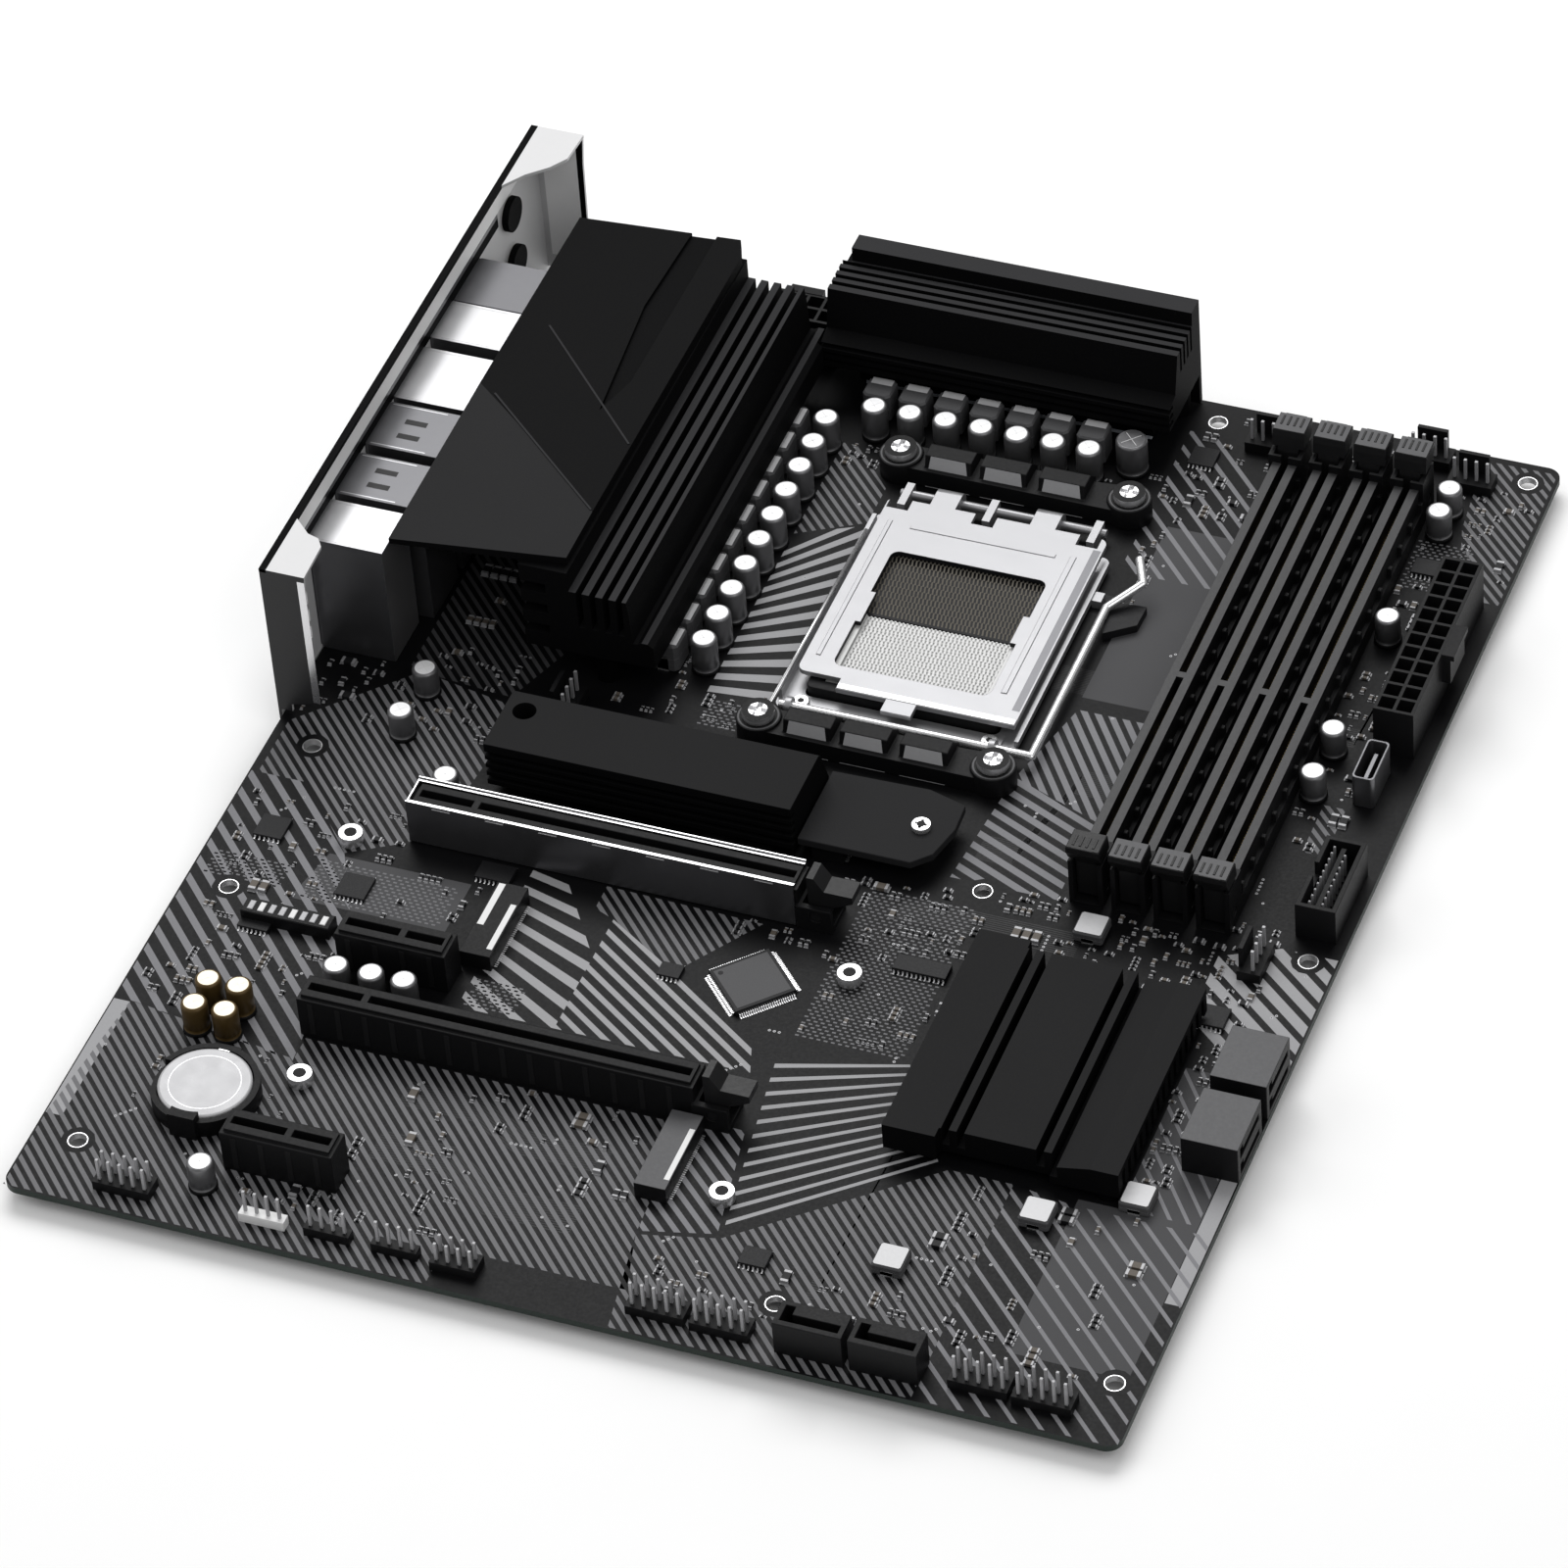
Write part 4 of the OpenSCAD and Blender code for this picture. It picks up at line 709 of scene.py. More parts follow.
def chip_leads():
    """Gull-wing leads and a first-pin dimple on each square package."""
    leads = Shape()
    c = math.cos(math.pi / 4)
    cx, cy, half = 128.3, 100.4, 7.0
    for side in range(4):
        turn = side * 90 + 45
        tc, ts = math.cos(math.radians(turn)), math.sin(math.radians(turn))
        for k in range(26):
            u = -half + 0.75 + k * (2 * half - 1.5) / 25
            for dist, z, length, drop in ((half + 0.25, 0.55, 0.5, 0.12), (half + 0.55, 0.08, 0.2, 0.58),
                                          (half + 0.95, 0.03, 0.65, 0.12)):
                px = cx + tc * dist - ts * u
                py = cy + ts * dist + tc * u
                leads.turned_box(px, py, z, length, 0.26, drop, turn, 0)
    leads.turned_box(cx, cy, 1.39, 12.4, 12.4, 0.025, 45, 2)
    leads.disc(cx - half * 2 * c * 0.72, cy, 0.6, 1.42, 1, sides=16)
    for x, y, w, d, h in SMALL_PACKAGES:
        count = int(w / 1.0)
        for k in range(count):
            px = x + (k + 0.5) * w / count
            for py, out in ((y, -1), (y + d, 1)):
                leads.box(px - 0.18, py - 0.35 + out * 0.35, 0.03, 0.36, 0.7, 0.14, 0)
                leads.box(px - 0.18, py - 0.08 + out * 0.08, 0.03, 0.36, 0.16, h * 0.6, 0)
        leads.disc(x + 0.9, y + d - 0.9, 0.35, h + 0.006, 1, sides=14)
        leads.box(x + w * 0.2, y + d * 0.3, h - 0.02, w * 0.6, d * 0.4, 0.024, 1)
    return leads.build("package_leads", [TIN, EPOXY, EPOXY_GREY])


# ---- sockets and slots ----

def seat_contacts():
    """Spring contacts of the processor seat: two halves that lean opposite ways, the lower half coloured
    bright as painted highlight.
    """
    springs = Shape()
    x0, y0 = SOCKET[0] - 18.2, SOCKET[1] - 21.8
    pitch = 0.94
    for j in range(47):
        y = y0 + j * pitch
        upper = y > SOCKET[1] + 0.4
        lean = 0.3 if upper else -0.3
        if abs(y - SOCKET[1] - 0.4) < 0.4:
            continue
        for i in range(39):
            x = x0 + i * pitch + (0.2 if j % 2 else 0)
            # Lower half in the bright material as painted highlight.
            slot = 0 if upper else 1
            springs.face([(x - 0.22, y - lean, 2.95), (x + 0.22, y - lean, 2.95),
                          (x + 0.16, y + lean, 3.38), (x - 0.16, y + lean, 3.38)], slot)
            springs.disc(x, y - lean, 0.3, 2.94, 2 if upper else 1, sides=6)
    obj = springs.build("seat_contacts", [SEAT_DARK, SEAT_HIGHLIGHT, EPOXY], weld=False)


def slot_contacts():
    """Rows of plated contacts inside the memory and card slots."""
    rows = Shape()
    for x in DIMM_XS:
        for k in range(144):
            y = 151.2 + k * 0.88
            if abs(y - 207) < 1.4:
                continue
            for s in (-1, 1):
                rows.box(x + s * 0.72 - 0.07, y - 0.2, 3.3, 0.14, 0.4, 2.4, 0)
    for y, length in ((123.5, 89), (62.5, 89), (82.8, 25.2), (21.9, 25.2)):
        count = int((length - 4) / 1.0)
        for k in range(count):
            x = 44.8 + k * 1.0
            if abs(x - 57) < 1.3:
                continue
            for s in (-1, 1):
                rows.box(x - 0.25, y + s * 0.9 - 0.08, 3.6, 0.5, 0.16, 4.2, 0)
    return rows.build("slot_contacts", [GOLD], weld=False)


def slot_trim():
    """Raised ribs on the slots' flanks and short metal strips along the near top edge of the steel-clad card
    slot.
    """
    trim = Shape()
    for x in DIMM_XS:
        for k in range(18):
            y = 152.5 + k * 7.35
            for s in (-1, 1):
                trim.box(x + s * 3.25 - 0.5, y, 4.45, 1.0, 1.2, 2.4, 0, edge=0.15)
    for y, length in ((62.5, 89), (82.8, 25.2), (21.9, 25.2)):
        for k in range(int(length / 6.2)):
            x = 45 + k * 6.2
            for s in (-1, 1):
                trim.box(x, y + s * 3.75 - 0.08, 1, 1.2, 0.16, 8.6, 0, edge=0.04)
    for k in range(7):
        trim.box(48.5 + k * 12.3, 119.02, 11.42, 4.2, 1.0, 0.16, 1, edge=0.05)
    return trim.build("slot_ribs", [BLACK_SATIN, SHELL], weld=False)


def latch_heads():
    """Wide thumb pieces on the memory latches, riding with them."""
    for i, x in enumerate(DIMM_XS):
        for end, s in (("near", -1), ("far", 1)):
            low, high = board_box(f"dimm_latch_{i + 1}_{end}")
            y = low.y + 4.4 if s < 0 else high.y - 4.4
            head = Shape()
            rings = []
            for inner, outer, inset, z in ((-2.2, 3.0, 0, 12.8), (-1.8, 4.42, 0, 15.4),
                                           (-1.45, 4.42, 0, 16.8), (-1.3, 4.2, 0.2, 17.03)):
                ys = sorted((y + s * inner, y + s * outer))
                half = 3.7 - inset
                rings.append([(x - half, ys[0], z), (x + half, ys[0], z),
                              (x + half, ys[1], z), (x - half, ys[1], z)])
            head.solid(rings, 0, 0 if i == 0 and s < 0 else 1)
            for k in range(4):
                head.box(x - 2.6 + k * 1.5, min(y + s * 0.4, y + s * 3.4), 16.99, 0.5, 3, 0.2, 0, edge=0.05)
            head.build(f"latch_head_{i + 1}_{end}", [BLACK_SATIN, GREY_PLASTIC],
                       body=f"dimm_latch_{i + 1}_{end}")


def connector_contacts():
    """Metal contacts of the power plugs, drive ports, module sockets and front headers."""
    pins = Shape()
    for x0, y0, nx, ny in ((231.8, 206.8, 2, 12), (59.2, 292.3, 4, 2)):
        for i in range(nx):
            for j in range(ny):
                x = x0 + i * POWER_PITCH + 1.1
                y = y0 + j * POWER_PITCH + 1.1
                pins.box(x, y, 1.9, 1.15, 1.15, 7.6, 0, edge=0.3)
    for x in (169.5, 185.6):
        for k in range(7):
            pins.box(x + 3.4 + k * 1.27, 5.45, 2.6, 0.5, 0.1, 5, 1)
    for x, y in ((127, 139.6), (67, 88), (127, 36)):
        for k in range(32):
            pins.box(x - 0.35, y + 1.3 + k * 0.6, 1.7, 1.2, 0.28, 0.12, 1)
            pins.box(x - 0.55, y + 1.3 + k * 0.6, 0.02, 0.6, 0.28, 0.12, 0)
            pins.box(x + 6.95, y + 1.3 + k * 0.6, 0.02, 0.7, 0.28, 0.12, 0)
    for x, y, w, d in ((67.5, 96.5, 1.5, 12.8), (72.3, 90, 1.3, 14), (132.6, 38.5, 1.2, 15)):
        pins.box(x, y, 4.19, w, d, 0.06, 3, edge=0.02)
    pins.box(17, 86.4, 0.02, 20.4, 4.4, 3.2, 4, edge=0.2)
    for k in range(8):
        pins.box(18.2 + k * 2.4, 87.2, 3.2, 1.3, 2.6, 0.3, 3 if k % 3 == 1 else 2, edge=0.1)
    for k in range(10):
        for s in (0, 1):
            if k == 9 and s:
                continue
            pins.box(234.7 + s * 2.9, 149.9 + k * 1.9, 2.5, 0.5, 0.5, 6, 2, edge=0.12)
    return pins.build("connector_contacts", [TIN, GOLD, CHIP_END, PALE_PLASTIC, BLACK])


def port_details():
    """Contacts, tongues and insulators inside the rear ports."""
    ports = Shape()
    lan_y, c_y, d_y = [sum(span) / 2 for span in (LAN_SPAN, USB_C_SPAN, DISPLAY_SPAN)]
    for y, levels in [(sum(span) / 2, 4) for span in USB_SPANS] + [(lan_y, 2), (c_y, 2)]:
        for level in range(levels):
            z = 5.2 + 7.6 * level
            ports.box(-1.2, y - 5.55, z + 0.25, 12.6, 11.1, 1.6, 0, edge=0.1)
            for k in range(4):
                ports.box(-0.9, y - 4 + k * 2.25, z + 0.17, 8, 1.1, 0.08, 1)
    for k in range(8):
        ports.box(1.5, lan_y - 3.9 + k * 1.05, 20.2, 9, 0.4, 0.4, 1)
    for s in (-1, 1):
        ports.box(-1.85, lan_y + s * 7.2 - 0.8, 27.6, 0.5, 1.6, 2.0, 2, edge=0.2)
    ports.box(-1.4, c_y - 3.2, 22.7, 5.6, 6.4, 0.7, 0, edge=0.1)
    for z in (7, 22):
        ports.box(-1.2, d_y - 5.8, z - 0.5, 10, 11.6, 1.2, 0, edge=0.1)
        for k in range(10):
            ports.box(-1.0, d_y - 5.2 + k * 1.1, z - 0.6, 7, 0.5, 0.1, 1)
    obj = ports.build("port_tongues", [BLACK, GOLD, PALE_PLASTIC])


def port_shell_details():
    """Folded seams and pressed windows on top of the metal port cans behind the shield."""
    tabs = Shape()
    for y0, y1 in [AUDIO_SPAN, *USB_SPANS, LAN_SPAN, USB_C_SPAN]:
        for y in (y0 + 0.4, y1 - 0.65):
            tabs.box(0.6, y, CAN_Z, 13, 0.25, 0.05, 0)
    for y0, _ in USB_SPANS:
        for step in (3.6, 8.4):
            tabs.box(5.4, y0 + step, CAN_Z, 5.2, 1.6, 0.03, 1)
    return tabs.build("port_can_tabs", [SHELL, BLACK_SATIN], weld=False)


def shield_folds():
    """Folded edges of the rear panel: bright near flange, painted rim, grey seam above the ports, and painted
    highlight on a near-white inner band and far flange face.
    """
    folds = Shape()
    low, high = board_box("io_shield")
    folds.box(7.6, low.y - 0.03, 5, 1.7, 0.03, 35.5, 0)
    folds.box(low.x - 0.03, low.y, high.z - 0.83, 1.66, high.y - low.y, 0.86, 1)
    inner_x = low.x + 0.8
    folds.box(inner_x, 168, 31.6, 0.04, 114, 2.6, 1)
    folds.box(inner_x, 168, 34.2, 0.03, 114, 1.2, 2)
    # Painted highlight: near-white band high on the inner face.
    folds.box(inner_x, 155, 35.4, 0.03, 146, 5.6, 3)
    y = high.y - 0.84
    # Painted highlight: the far flange face, near white.
    folds.face([(1, y, 5), (9.2, y, 5), (9.6, y, 41), (1, y, 41)], 3)
    folds.face([(9.2, y, 5), (10.4, y, 5), (11, y, 34), (11.5, y, 41), (9.6, y, 41)], 1)
    return folds.build("shield_folds", [BRIGHT_STEEL_AND_HIGHLIGHT, COAT_DARK, DULL_STEEL_AND_SHADE, SHIELD_HIGHLIGHT], weld=False)


def cover_creases():
    """Painted highlight lines along the two slanting creases of the rear cover."""
    creases = Shape()
    top = board_box("vrm_cover")[1].z
    for (ax, ay), (bx, by) in [((57.2, 194.67), (22.4, 224.66)), ((57.2, 217.2), (25.4, 249.6))]:
        length = math.hypot(bx - ax, by - ay)
        ox, oy = -(by - ay) / length * 0.22, (bx - ax) / length * 0.22
        outline = [(bx - ox, by - oy), (bx + ox, by + oy), (ax + ox, ay + oy), (ax - ox, ay - oy)]
        creases.solid([[(x, y, z) for x, y in outline] for z in (top - 0.3, top + 0.03)])
    return creases.build("cover_creases", [EDGE_HIGHLIGHT])


def battery_details():
    """Clip, contact spring and the rolled edge of the coin cell."""
    clip_shape = Shape()
    clip_shape.box(29.2, 24.2, 4.4, 3.6, 1.2, 1.7, 0, edge=0.2)
    clip_shape.box(29.6, 45.6, 3.2, 2.8, 1.4, 0.9, 0, edge=0.2)
    for s in (-1, 1):
        clip_shape.box(CELL_AT[0] + s * 4 - 0.6, 30, 1.16, 1.2, 12, 0.08, 0)
    clip_shape.build("cell_clip", [TIN])
    cell = Shape()
    rim = [(8.6, 1.26), (9, 1.5), (9.3, 1.75), (9.86, 1.95), (10, 2.2), (10, 4.05), (9.8, 4.32), (9.4, 4.44)]
    cell.lathe(*CELL_AT, rim, 64, 0)
    cell.flat_ring(*CELL_AT, 7.6, 7.75, 4.443, 1, sides=48)
    obj = cell.build("coin_cell", [CELL, SHELL], body="coin_battery")
    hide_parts("coin_battery")


def socket_details():
    """Rivets, the seat's rim in bright strips of painted highlight, the bright side rod and the catch beside
    the lever.
    """
    rim = Shape()
    cx, cy = SOCKET
    for x, y in [(cx - 22, cy - 28.5), (cx + 21.5, cy - 28.5)]:
        rim.lathe(x, y, [(2.0, 1.1), (2.0, 1.7), (1.7, 2.0)], 24, 0)
        rim.lathe(x, y, [(0.8, 1.99), (0.8, 2.03)], 6, 1)
    # Bright strips beside and below the lower half of the contacts: painted highlight.
    for s in (-1, 1):
        rim.box(cx - 18.3 if s < 0 else cx + 16.9, cy - 18.6, 3.58, 1.4, 18.6, 0.2, 3, edge=0.08)
    rim.box(cx - 17, cy - 19.6, 3.58, 34, 1.2, 0.2, 3, edge=0.08)
    rod = circle(0, 0, 0.45, 0, 10)[::-1]
    rim.solid([[(x + u, y, 4.3 + v) for u, v, _ in rod] for x, y in ((102.9, 175.4), (103.5, 237.4))],
              0, None, True)
    lug = [(163.9, 222.6), (170.2, 227.2), (170.4, 233.4), (161.2, 233)]
    rim.solid([[(x, y, z) for x, y in lug] for z in (0.02, 2.1)], 1)
    return rim.build("socket_trim", [WIRE, EPOXY, BLACK_SATIN, SEAT_HIGHLIGHT])


def plate_details():
    """Pressed ridges on the load plate's sides and tongue, and a dark strip of painted shade where its right
    edge bends down, riding with the plate.
    """
    lips = Shape()
    cx, cy = SOCKET
    for x, w in ((cx - 22.6, 1.1), (cx + 20.2, 1.4)):
        lips.box(x, cy - 17, PLATE_Z, w, 46, 0.22, 0, edge=0.12)
    lips.box(cx - 17, cy + 27.5, PLATE_Z, 34, 1.1, 0.18, 0, edge=0.1)
    lips.box(cx - 14.6, cy - 25.9, PLATE_Z, 41, 1.7, 0.22, 1, edge=0.15)
    # Painted shade: a dark strip where the plate's right edge bends down.
    lips.box(cx + 24.3, cy - 21.5, PLATE_Z, 1.8, 54, 0.03, 2)
    obj = lips.build("plate_lips", [PLATE, WIRE, DULL_STEEL_AND_SHADE], body="load_plate")


def bracket_pads():
    """Grey wedge faces on the black cooler brackets: painted highlight on the sloped faces."""
    pads = Shape()
    for side in (-1, 1):
        yc = COOLER[1] + side * 45
        for x in (-20.4, -7.4, 6.4):
            x0 = COOLER[0] + x
            pads.face([(x0 + 0.3, yc - 4.03, 0.4), (x0 + 10.7, yc - 4.03, 0.4), (x0 + 9.6, yc - 2.03, 7.9),
                       (x0 + 1.4, yc - 2.03, 7.9)], 0)
    return pads.build("bracket_faces", [BRACKET_HIGHLIGHT], weld=False)


def screw_cups():
    """Dark collars around the cooler screws and the drive standoffs."""
    cups = Shape()
    for i in (-1, 1):
        for j in (-1, 1):
            x, y = COOLER[0] + 27 * i, COOLER[1] + 45 * j
            cups.flat_ring(x, y, 2.1, 3.6, 7.37, 0)
            cups.flat_ring(x, y, 4.2, 4.6, 5.53, 1)
    for x, y in DRIVE_STANDOFFS:
        cups.lathe(x, y, [(1.4, 2.5), (1.4, 2.66)], 20, 0)
    top = board_box("board_screws")[1].z
    cups.lathe(148.5, 149.5, [(0.9, top - 0.3), (0.9, top + 0.04)], 16, 0)
    return cups.build("dark_collars", [BLACK, GREY_PLASTIC], weld=False)


def underside():
    """Solder cones, vias and part outlines on the solder side."""
    back = Shape()
    cone = [(0.3, -BOARD_T - 1.3), (0.55, -BOARD_T - 1.0), (0.55, -BOARD_T - 0.3), (0.55, -BOARD_T)]
    grids = [(233.5, 208.1, 2, 12, 4.6, 4.2), (59.8, 293.6, 4, 2, 4.2, 4.6), (82.35, 187.1, 2, 10, 2.5, 8.5),
             (91.35, 272.6, 14, 1, 4.25, 2)]
    grids += [(6, y0 + 2.5, 3, 4, 4.5, 3) for y0, _ in [*USB_SPANS, LAN_SPAN, USB_C_SPAN, DISPLAY_SPAN]]
    grids.append((6, AUDIO_SPAN[0] + 2.5, 3, 3, 4.5, 4))
    for x, y, nx, ny, dx, dy in grids:
        for i in range(nx):
            for j in range(ny):
                back.lathe(x + i * dx, y + j * dy, cone, 12, 0)
                back.flat_ring(x + i * dx, y + j * dy, 0.5, 0.95, -BOARD_T - 0.02, 0, sides=12)
    obj = back.build("solder_cones", [TIN], weld=False)
    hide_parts("solder_pins")
    dots = Shape()
    under = -BOARD_T - 0.015
    for _ in range(900):
        x = rng.uniform(5, BOARD[0] - 5)
        y = rng.uniform(5, BOARD[1] - 5)
        if all(math.hypot(x - u, y - v) > 4.5 for u, v in MOUNT_HOLES):
            dots.flat_ring(x, y, 0.12, 0.32, -BOARD_T - 0.02, 0, sides=6)
    for _ in range(260):
        x = rng.uniform(100, 160)
        y = rng.uniform(186, 246)
        dots.box(x, y, -BOARD_T - 0.5, 1.0, 0.55, 0.5, 1)
    for k in range(60):
        for i, x in enumerate((12, 20, 236)):
            y = 30 + k * 4
            x1 = x + 6 - i
            dots.face([(x, y, under), (x, y + 1.4, under), (x1, y + 4.4, under), (x1, y + 3, under)], 2)
    dots.build("solder_side", [TIN, CERAMIC, PRINT_DIM], weld=False)


# ---- CAD pieces ----

def dress_nodes():
    def top_is(slot):
        return lambda c, n, low, high: slot if c.z > high.z - 0.25 and n.z > 0.5 else 0

    def laminate_side(c, n, low, high):
        """Mask on the two faces, resin at the edges, tin in the plated mounting holes."""
        if abs(n.z) > 0.5:
            return 0
        return 2 if any(math.hypot(c.x - x, c.y - y) < 2.3 for x, y in MOUNT_HOLES) else 1
    dress("pcb", [MASK, RESIN, TIN], laminate_side, edge=0)
    dress("io_shield", [SHIELD_INSIDE, PAINTED], lambda c, n, low, high:
          1 if n.x < -0.5 and c.x < -1 or n.y < -0.5 and c.y < low.y + 0.1 else 0, edge=0.12)
    dress("antenna_jacks", [BRASS, COAT_DARK], lambda c, n, low, high: 1 if c.x > -0.2 else 0, edge=0.12)
    for n in ("audio_jack_stack", "lan_usb_stack", "usb_c_stack"):
        dress(n, [SHELL, DULL_STEEL_AND_SHADE], lambda c, n, low, high: 1 if n.y < -0.5 else 0, edge=0.12)
    dress("usb_stacks", [DULL_STEEL_AND_SHADE], edge=0.12)
    dress("display_stack", [DULL_STEEL_AND_SHADE], edge=0.12)
    # Fin tops of the rear and top heatsinks take the lighter coat as painted highlight.
    dress("vrm_heatsink_rear", [COAT_DARK, EDGE_HIGHLIGHT], lambda c, n, low, high:
          1 if n.z > 0.9 and (26 < c.z < 28 or 15.8 < c.z < 16.3) else 0, edge=0.2)
    dress("vrm_heatsink_top", [COAT_DARK, EDGE_HIGHLIGHT], lambda c, n, low, high:
          1 if n.z > 0.9 and 25.5 < c.z < high.z + 1 else 0, edge=0.2)
    dress("vrm_cover", [COAT_MID, COAT_DARK, COAT_PALE_AND_HIGHLIGHT], cover_tone, edge=0.25)
    dress("vrm_thermal_pads", [PAD], edge=0.1)
    dress("vrm_mosfets", [EPOXY], edge=0.08)
    dress("socket_housing", [BLACK], edge=0.15)
    # The lower half of the contact field is coloured bright as painted highlight.
    dress("socket_contacts", [EPOXY, SEAT_HIGHLIGHT], lambda c, n, low, high:
          1 if c.y < SOCKET[1] + 0.4 else 0, edge=0)
    dress("socket_frame", [PLATE], edge=0.12)
    # Inner walls of the load plate's window take black epoxy as painted shade.
    dress("load_plate", [PLATE, EPOXY], lambda c, n, low, high:
          1 if abs(n.z) < 0.5 and abs(c.x - SOCKET[0]) < 19 and -20 < c.y - SOCKET[1] < 24 else 0, edge=0.3)
    dress("load_lever", [WIRE], edge=0)
    dress("cooler_brackets", [BLACK], edge=0.3)
    dress("cooler_backplate", [COAT_DARK], edge=0.2)
    dress("cooler_screws", [TIN], edge=0.15)
    for i in range(1, 5):
        dress(f"dimm_slot_{i}", [BLACK, RAIL_GREY], lambda c, n, low, high:
              1 if n.z > 0.9 and 9.5 < c.z < 10.5 else 0, edge=0.2)
        for end in ("near", "far"):
            pale = 1 if end == "near" and i > 1 else 0
            dress(f"dimm_latch_{i}_{end}", [BLACK_SATIN, RAIL_GREY], top_is(pale), edge=0.3)
    for n in ("pcie_x16_slot_1", "pcie_x16_slot_2", "pcie_x1_slots"):
        dress(n, [BLACK], edge=0.15)
    # Top faces of the steel slot shell take bright steel as painted highlight; the other faces the dull
    # steel.
    dress("pcie_steel_shell", [DULL_STEEL_AND_SHADE, BRIGHT_STEEL_AND_HIGHLIGHT], lambda c, n, low, high: 1 if n.z > 0.5 else 0, edge=0.08)
    for n in ("pcie_latch_1", "pcie_latch_2"):
        dress(n, [BLACK_SATIN], edge=0.25)
    dress("m2_sockets", [BLACK, GREY_PLASTIC], lambda c, n, low, high:
          1 if n.z > 0.5 and c.y < 60 and c.z > high.z - 0.3 else 0, edge=0.12)
    dress("m2_heatsink", [COAT_GREY, COAT_DARK], lambda c, n, low, high:
          0 if n.z > 0.2 and c.z > 13 else 1, edge=0.25)
    dress("m2_end_plate", [COAT_PALE_AND_HIGHLIGHT], edge=0.2)
    dress("m2_standoffs", [TIN], edge=0.12)
    # Chipset heatsink facets that face +x take the paler coat as painted highlight.
    dress("chipset_heatsink", [COAT_GREY, COAT_DARK, COAT_PALE_AND_HIGHLIGHT], lambda c, n, low, high:
          1 if n.z < 0.5 or c.z < 6 else (2 if n.x > 0.04 else 0), edge=0.3)
    dress("chipset_package", [RESIN, EPOXY], lambda c, n, low, high: 1 if c.z > 1.31 else 0, edge=0.05)
    for n in ("atx_power_connector", "cpu_power_connector"):
        dress(n, [BLACK], edge=0.15)
    dress("sata_ports", [BLACK, GREY_PLASTIC], lambda c, n, low, high:
          1 if n.z > 0.5 and c.z > high.z - 0.3 and c.y > 60 else 0, edge=0.15)
    dress("front_usb_headers", [BLACK, DULL_STEEL_AND_SHADE], lambda c, n, low, high:
          1 if c.y > 180 and c.z > 2.2 else 0, edge=0.12)
    dress("fan_headers", [BLACK, CHIP_END], lambda c, n, low, high:
          1 if c.z > 4 and pin_like(c) else 0, edge=0.06)
    dress("pin_headers", [BLACK, CHIP_END, PALE_PLASTIC], lambda c, n, low, high:
          1 if c.z > 2.45 else (2 if 51 < c.x < 62.5 else 0), edge=0.05)
    dress("battery_holder", [BLACK], edge=0.2)
    dress("ic_packages", [EPOXY], edge=0.1)
    dress("board_screws", [TIN], edge=0.1)


def cover_tone(c, n, low, high):
    """Tone of one facet of the rear cover, from the two slanting creases and the recessed band; the facet
    below the first crease takes the paler coat as painted highlight.
    """
    if n.z < 0.7:
        return 1
    if c.z < high.z - 0.8 and c.y > 222 and n.z > 0.999:
        return 1
    # Painted highlight on the lower-left facet.
    if beside((57.4, 194.5), (22, 225), c):
        return 2
    return 0


def beside(p, q, c):
    """True on the slot side of the line from p to q."""
    return (q[0] - p[0]) * (c.y - p[1]) - (q[1] - p[1]) * (c.x - p[0]) > 0


def pin_like(c):
    """True on the pins of the fan headers, which stand apart from their back walls."""
    for x, y in ((173.8, 291), (209.5, 297), (220.8, 291.5)):
        if x < c.x < x + 10.2 and y < c.y < y + 2.6:
            return True
    for x, y in ((224.8, 131.5), (57, 163)):
        if x + 2.6 < c.x < x + 5.2 and y < c.y < y + 10.2:
            return True
    return False


# ---- stage ----

def look(at, forward, up):
    """World matrix of something at a place that looks along forward."""
    forward = Vector(forward).normalized()
    right = forward.cross(Vector(up)).normalized()
    true_up = right.cross(forward)
    m = Matrix((right, true_up, -forward)).transposed().to_4x4()
    m.translation = Vector(at)
    return m


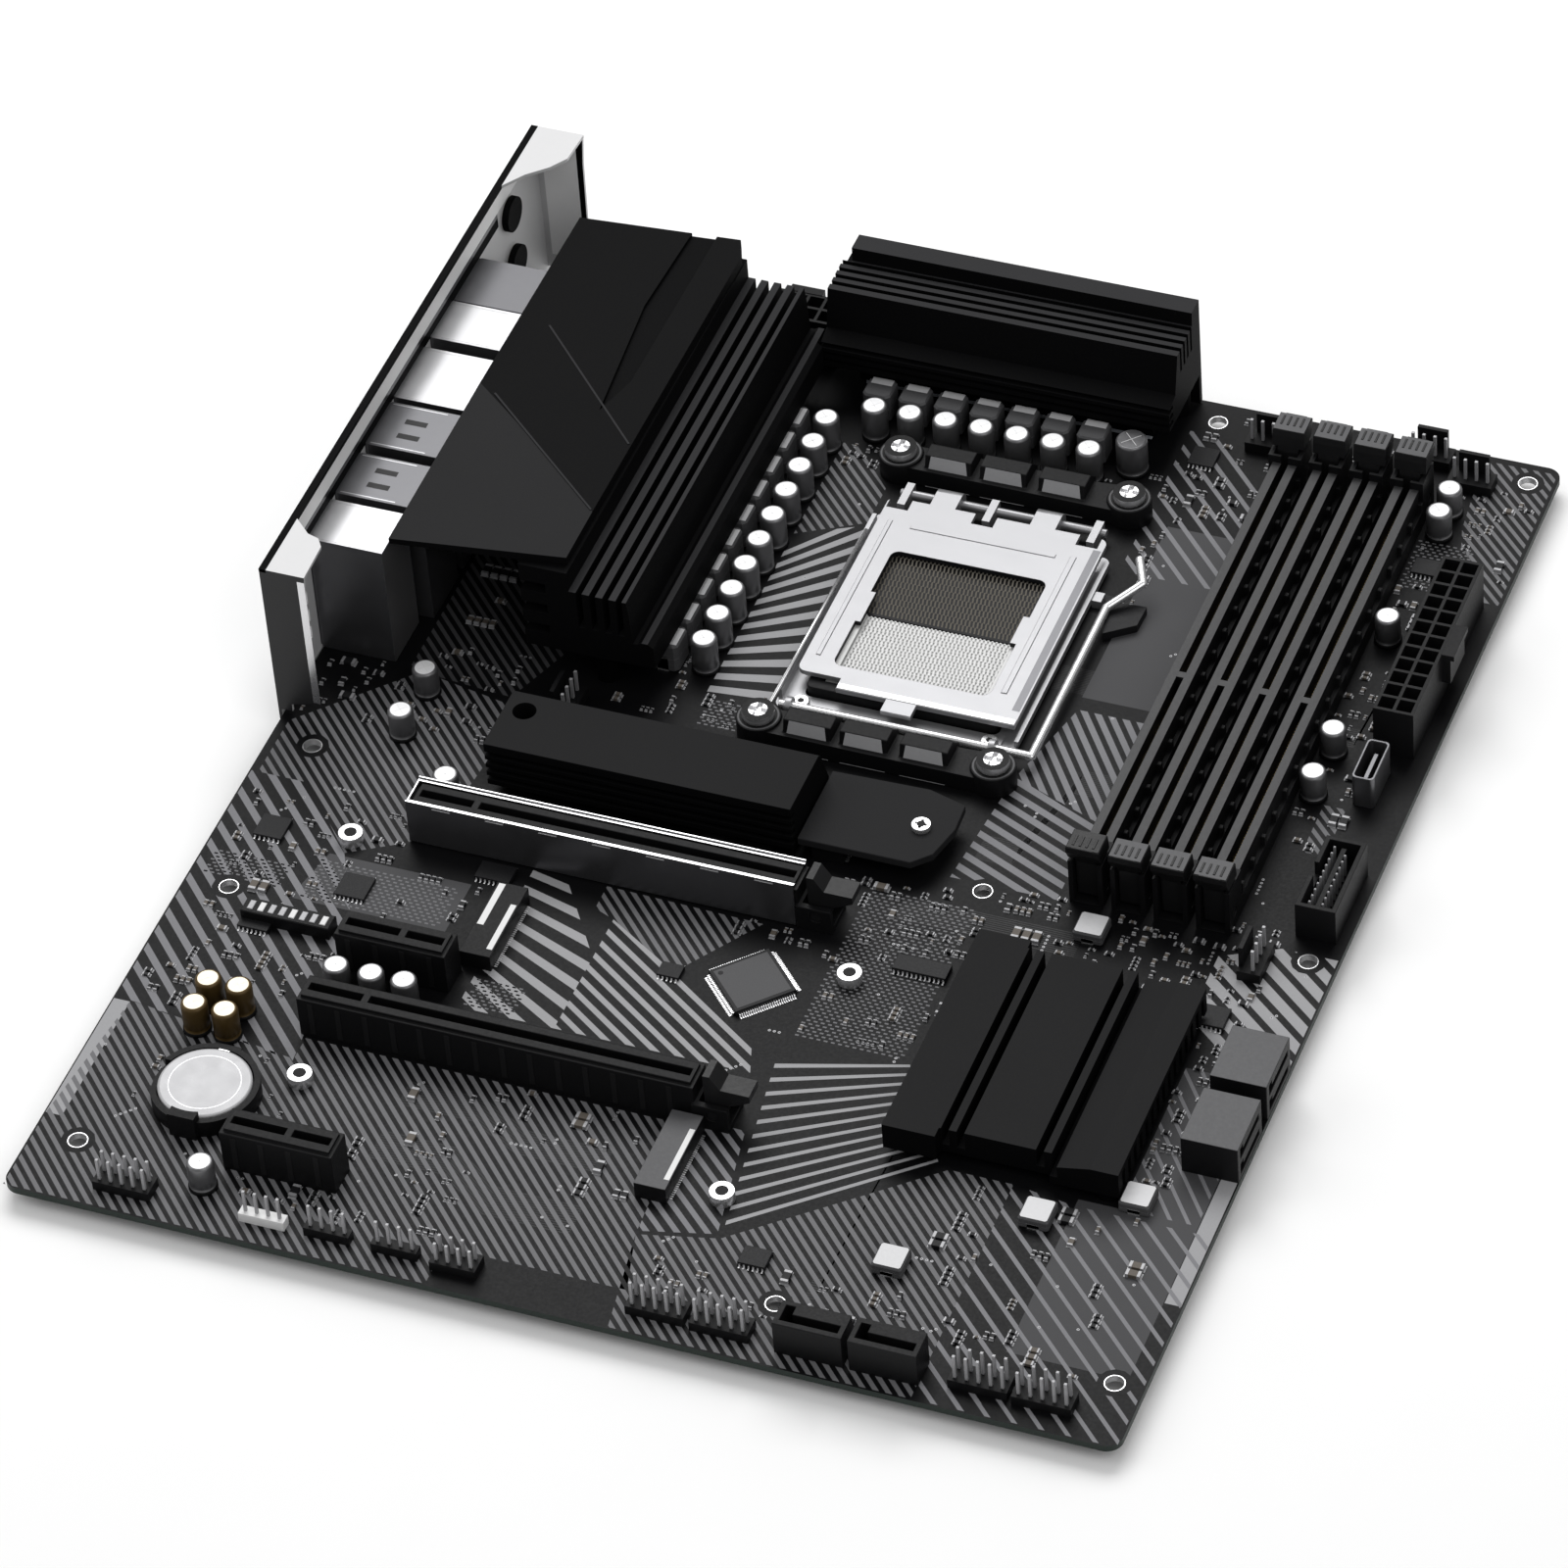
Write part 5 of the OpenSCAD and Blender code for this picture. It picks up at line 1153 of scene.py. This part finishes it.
def area_light(name, at, target, size, power):
    data = bpy.data.lights.new(name, "AREA")
    data.shape = "RECTANGLE"
    data.size, data.size_y = size
    data.energy = power
    obj = bpy.data.objects.new(name, data)
    bpy.context.scene.collection.objects.link(obj)
    obj.matrix_world = look(at, Vector(target) - Vector(at), (0, 0, 1))
    return obj


def stage():
    """Pale floor, soft lights and a plain world."""
    mesh = bpy.data.meshes.new("floor")
    reach = 4.0
    level = rest_bounds[0][2] - 0.0005
    corners = [(-reach, -reach, level), (reach, -reach, level), (reach, reach, level), (-reach, reach, level)]
    mesh.from_pydata(corners, [], [(0, 1, 2, 3)])
    mesh.materials.append(FLOOR)
    floor = bpy.data.objects.new("floor", mesh)
    bpy.context.scene.collection.objects.link(floor)
    centre = place(BOARD[0] / 2, BOARD[1] / 2, 10)
    area_light("key", (-0.15, 0.85, 1.1), centre, (1.1, 0.8), 13)
    area_light("fill", (0.9, -0.5, 1.1), centre, (0.9, 0.9), 4)
    area_light("side", (-1.0, -0.2, 0.9), centre, (0.8, 0.8), 3)
    world = bpy.data.worlds.new("studio")
    world.use_nodes = True
    world.node_tree.nodes["Background"].inputs["Color"].default_value = (1, 1, 1, 1)
    world.node_tree.nodes["Background"].inputs["Strength"].default_value = 0.42
    bpy.context.scene.world = world
    bpy.context.scene.view_settings.view_transform = "Standard"


def camera():
    """Long lens, from in front of the slot end and the front edge, with a slight roll."""
    data = bpy.data.cameras.new("camera")
    data.lens = 187.1
    data.sensor_width = 36
    data.clip_end = 20
    obj = bpy.data.objects.new("camera", data)
    bpy.context.scene.collection.objects.link(obj)
    obj.matrix_world = look((0.6235, -1.0214, 1.2059), (-0.2968, 0.6638, -0.6865), (-0.2, 0.6598, 0.7244))
    bpy.context.scene.camera = obj


dress_nodes()
printed_artwork()
buried_traces()
plated_rings()
chip_parts()
via_field()
capacitors()
chokes()
chip_leads()
seat_contacts()
slot_contacts()
slot_trim()
latch_heads()
connector_contacts()
port_details()
port_shell_details()
shield_folds()
cover_creases()
battery_details()
socket_details()
plate_details()
bracket_pads()
screw_cups()
underside()
stage()
camera()
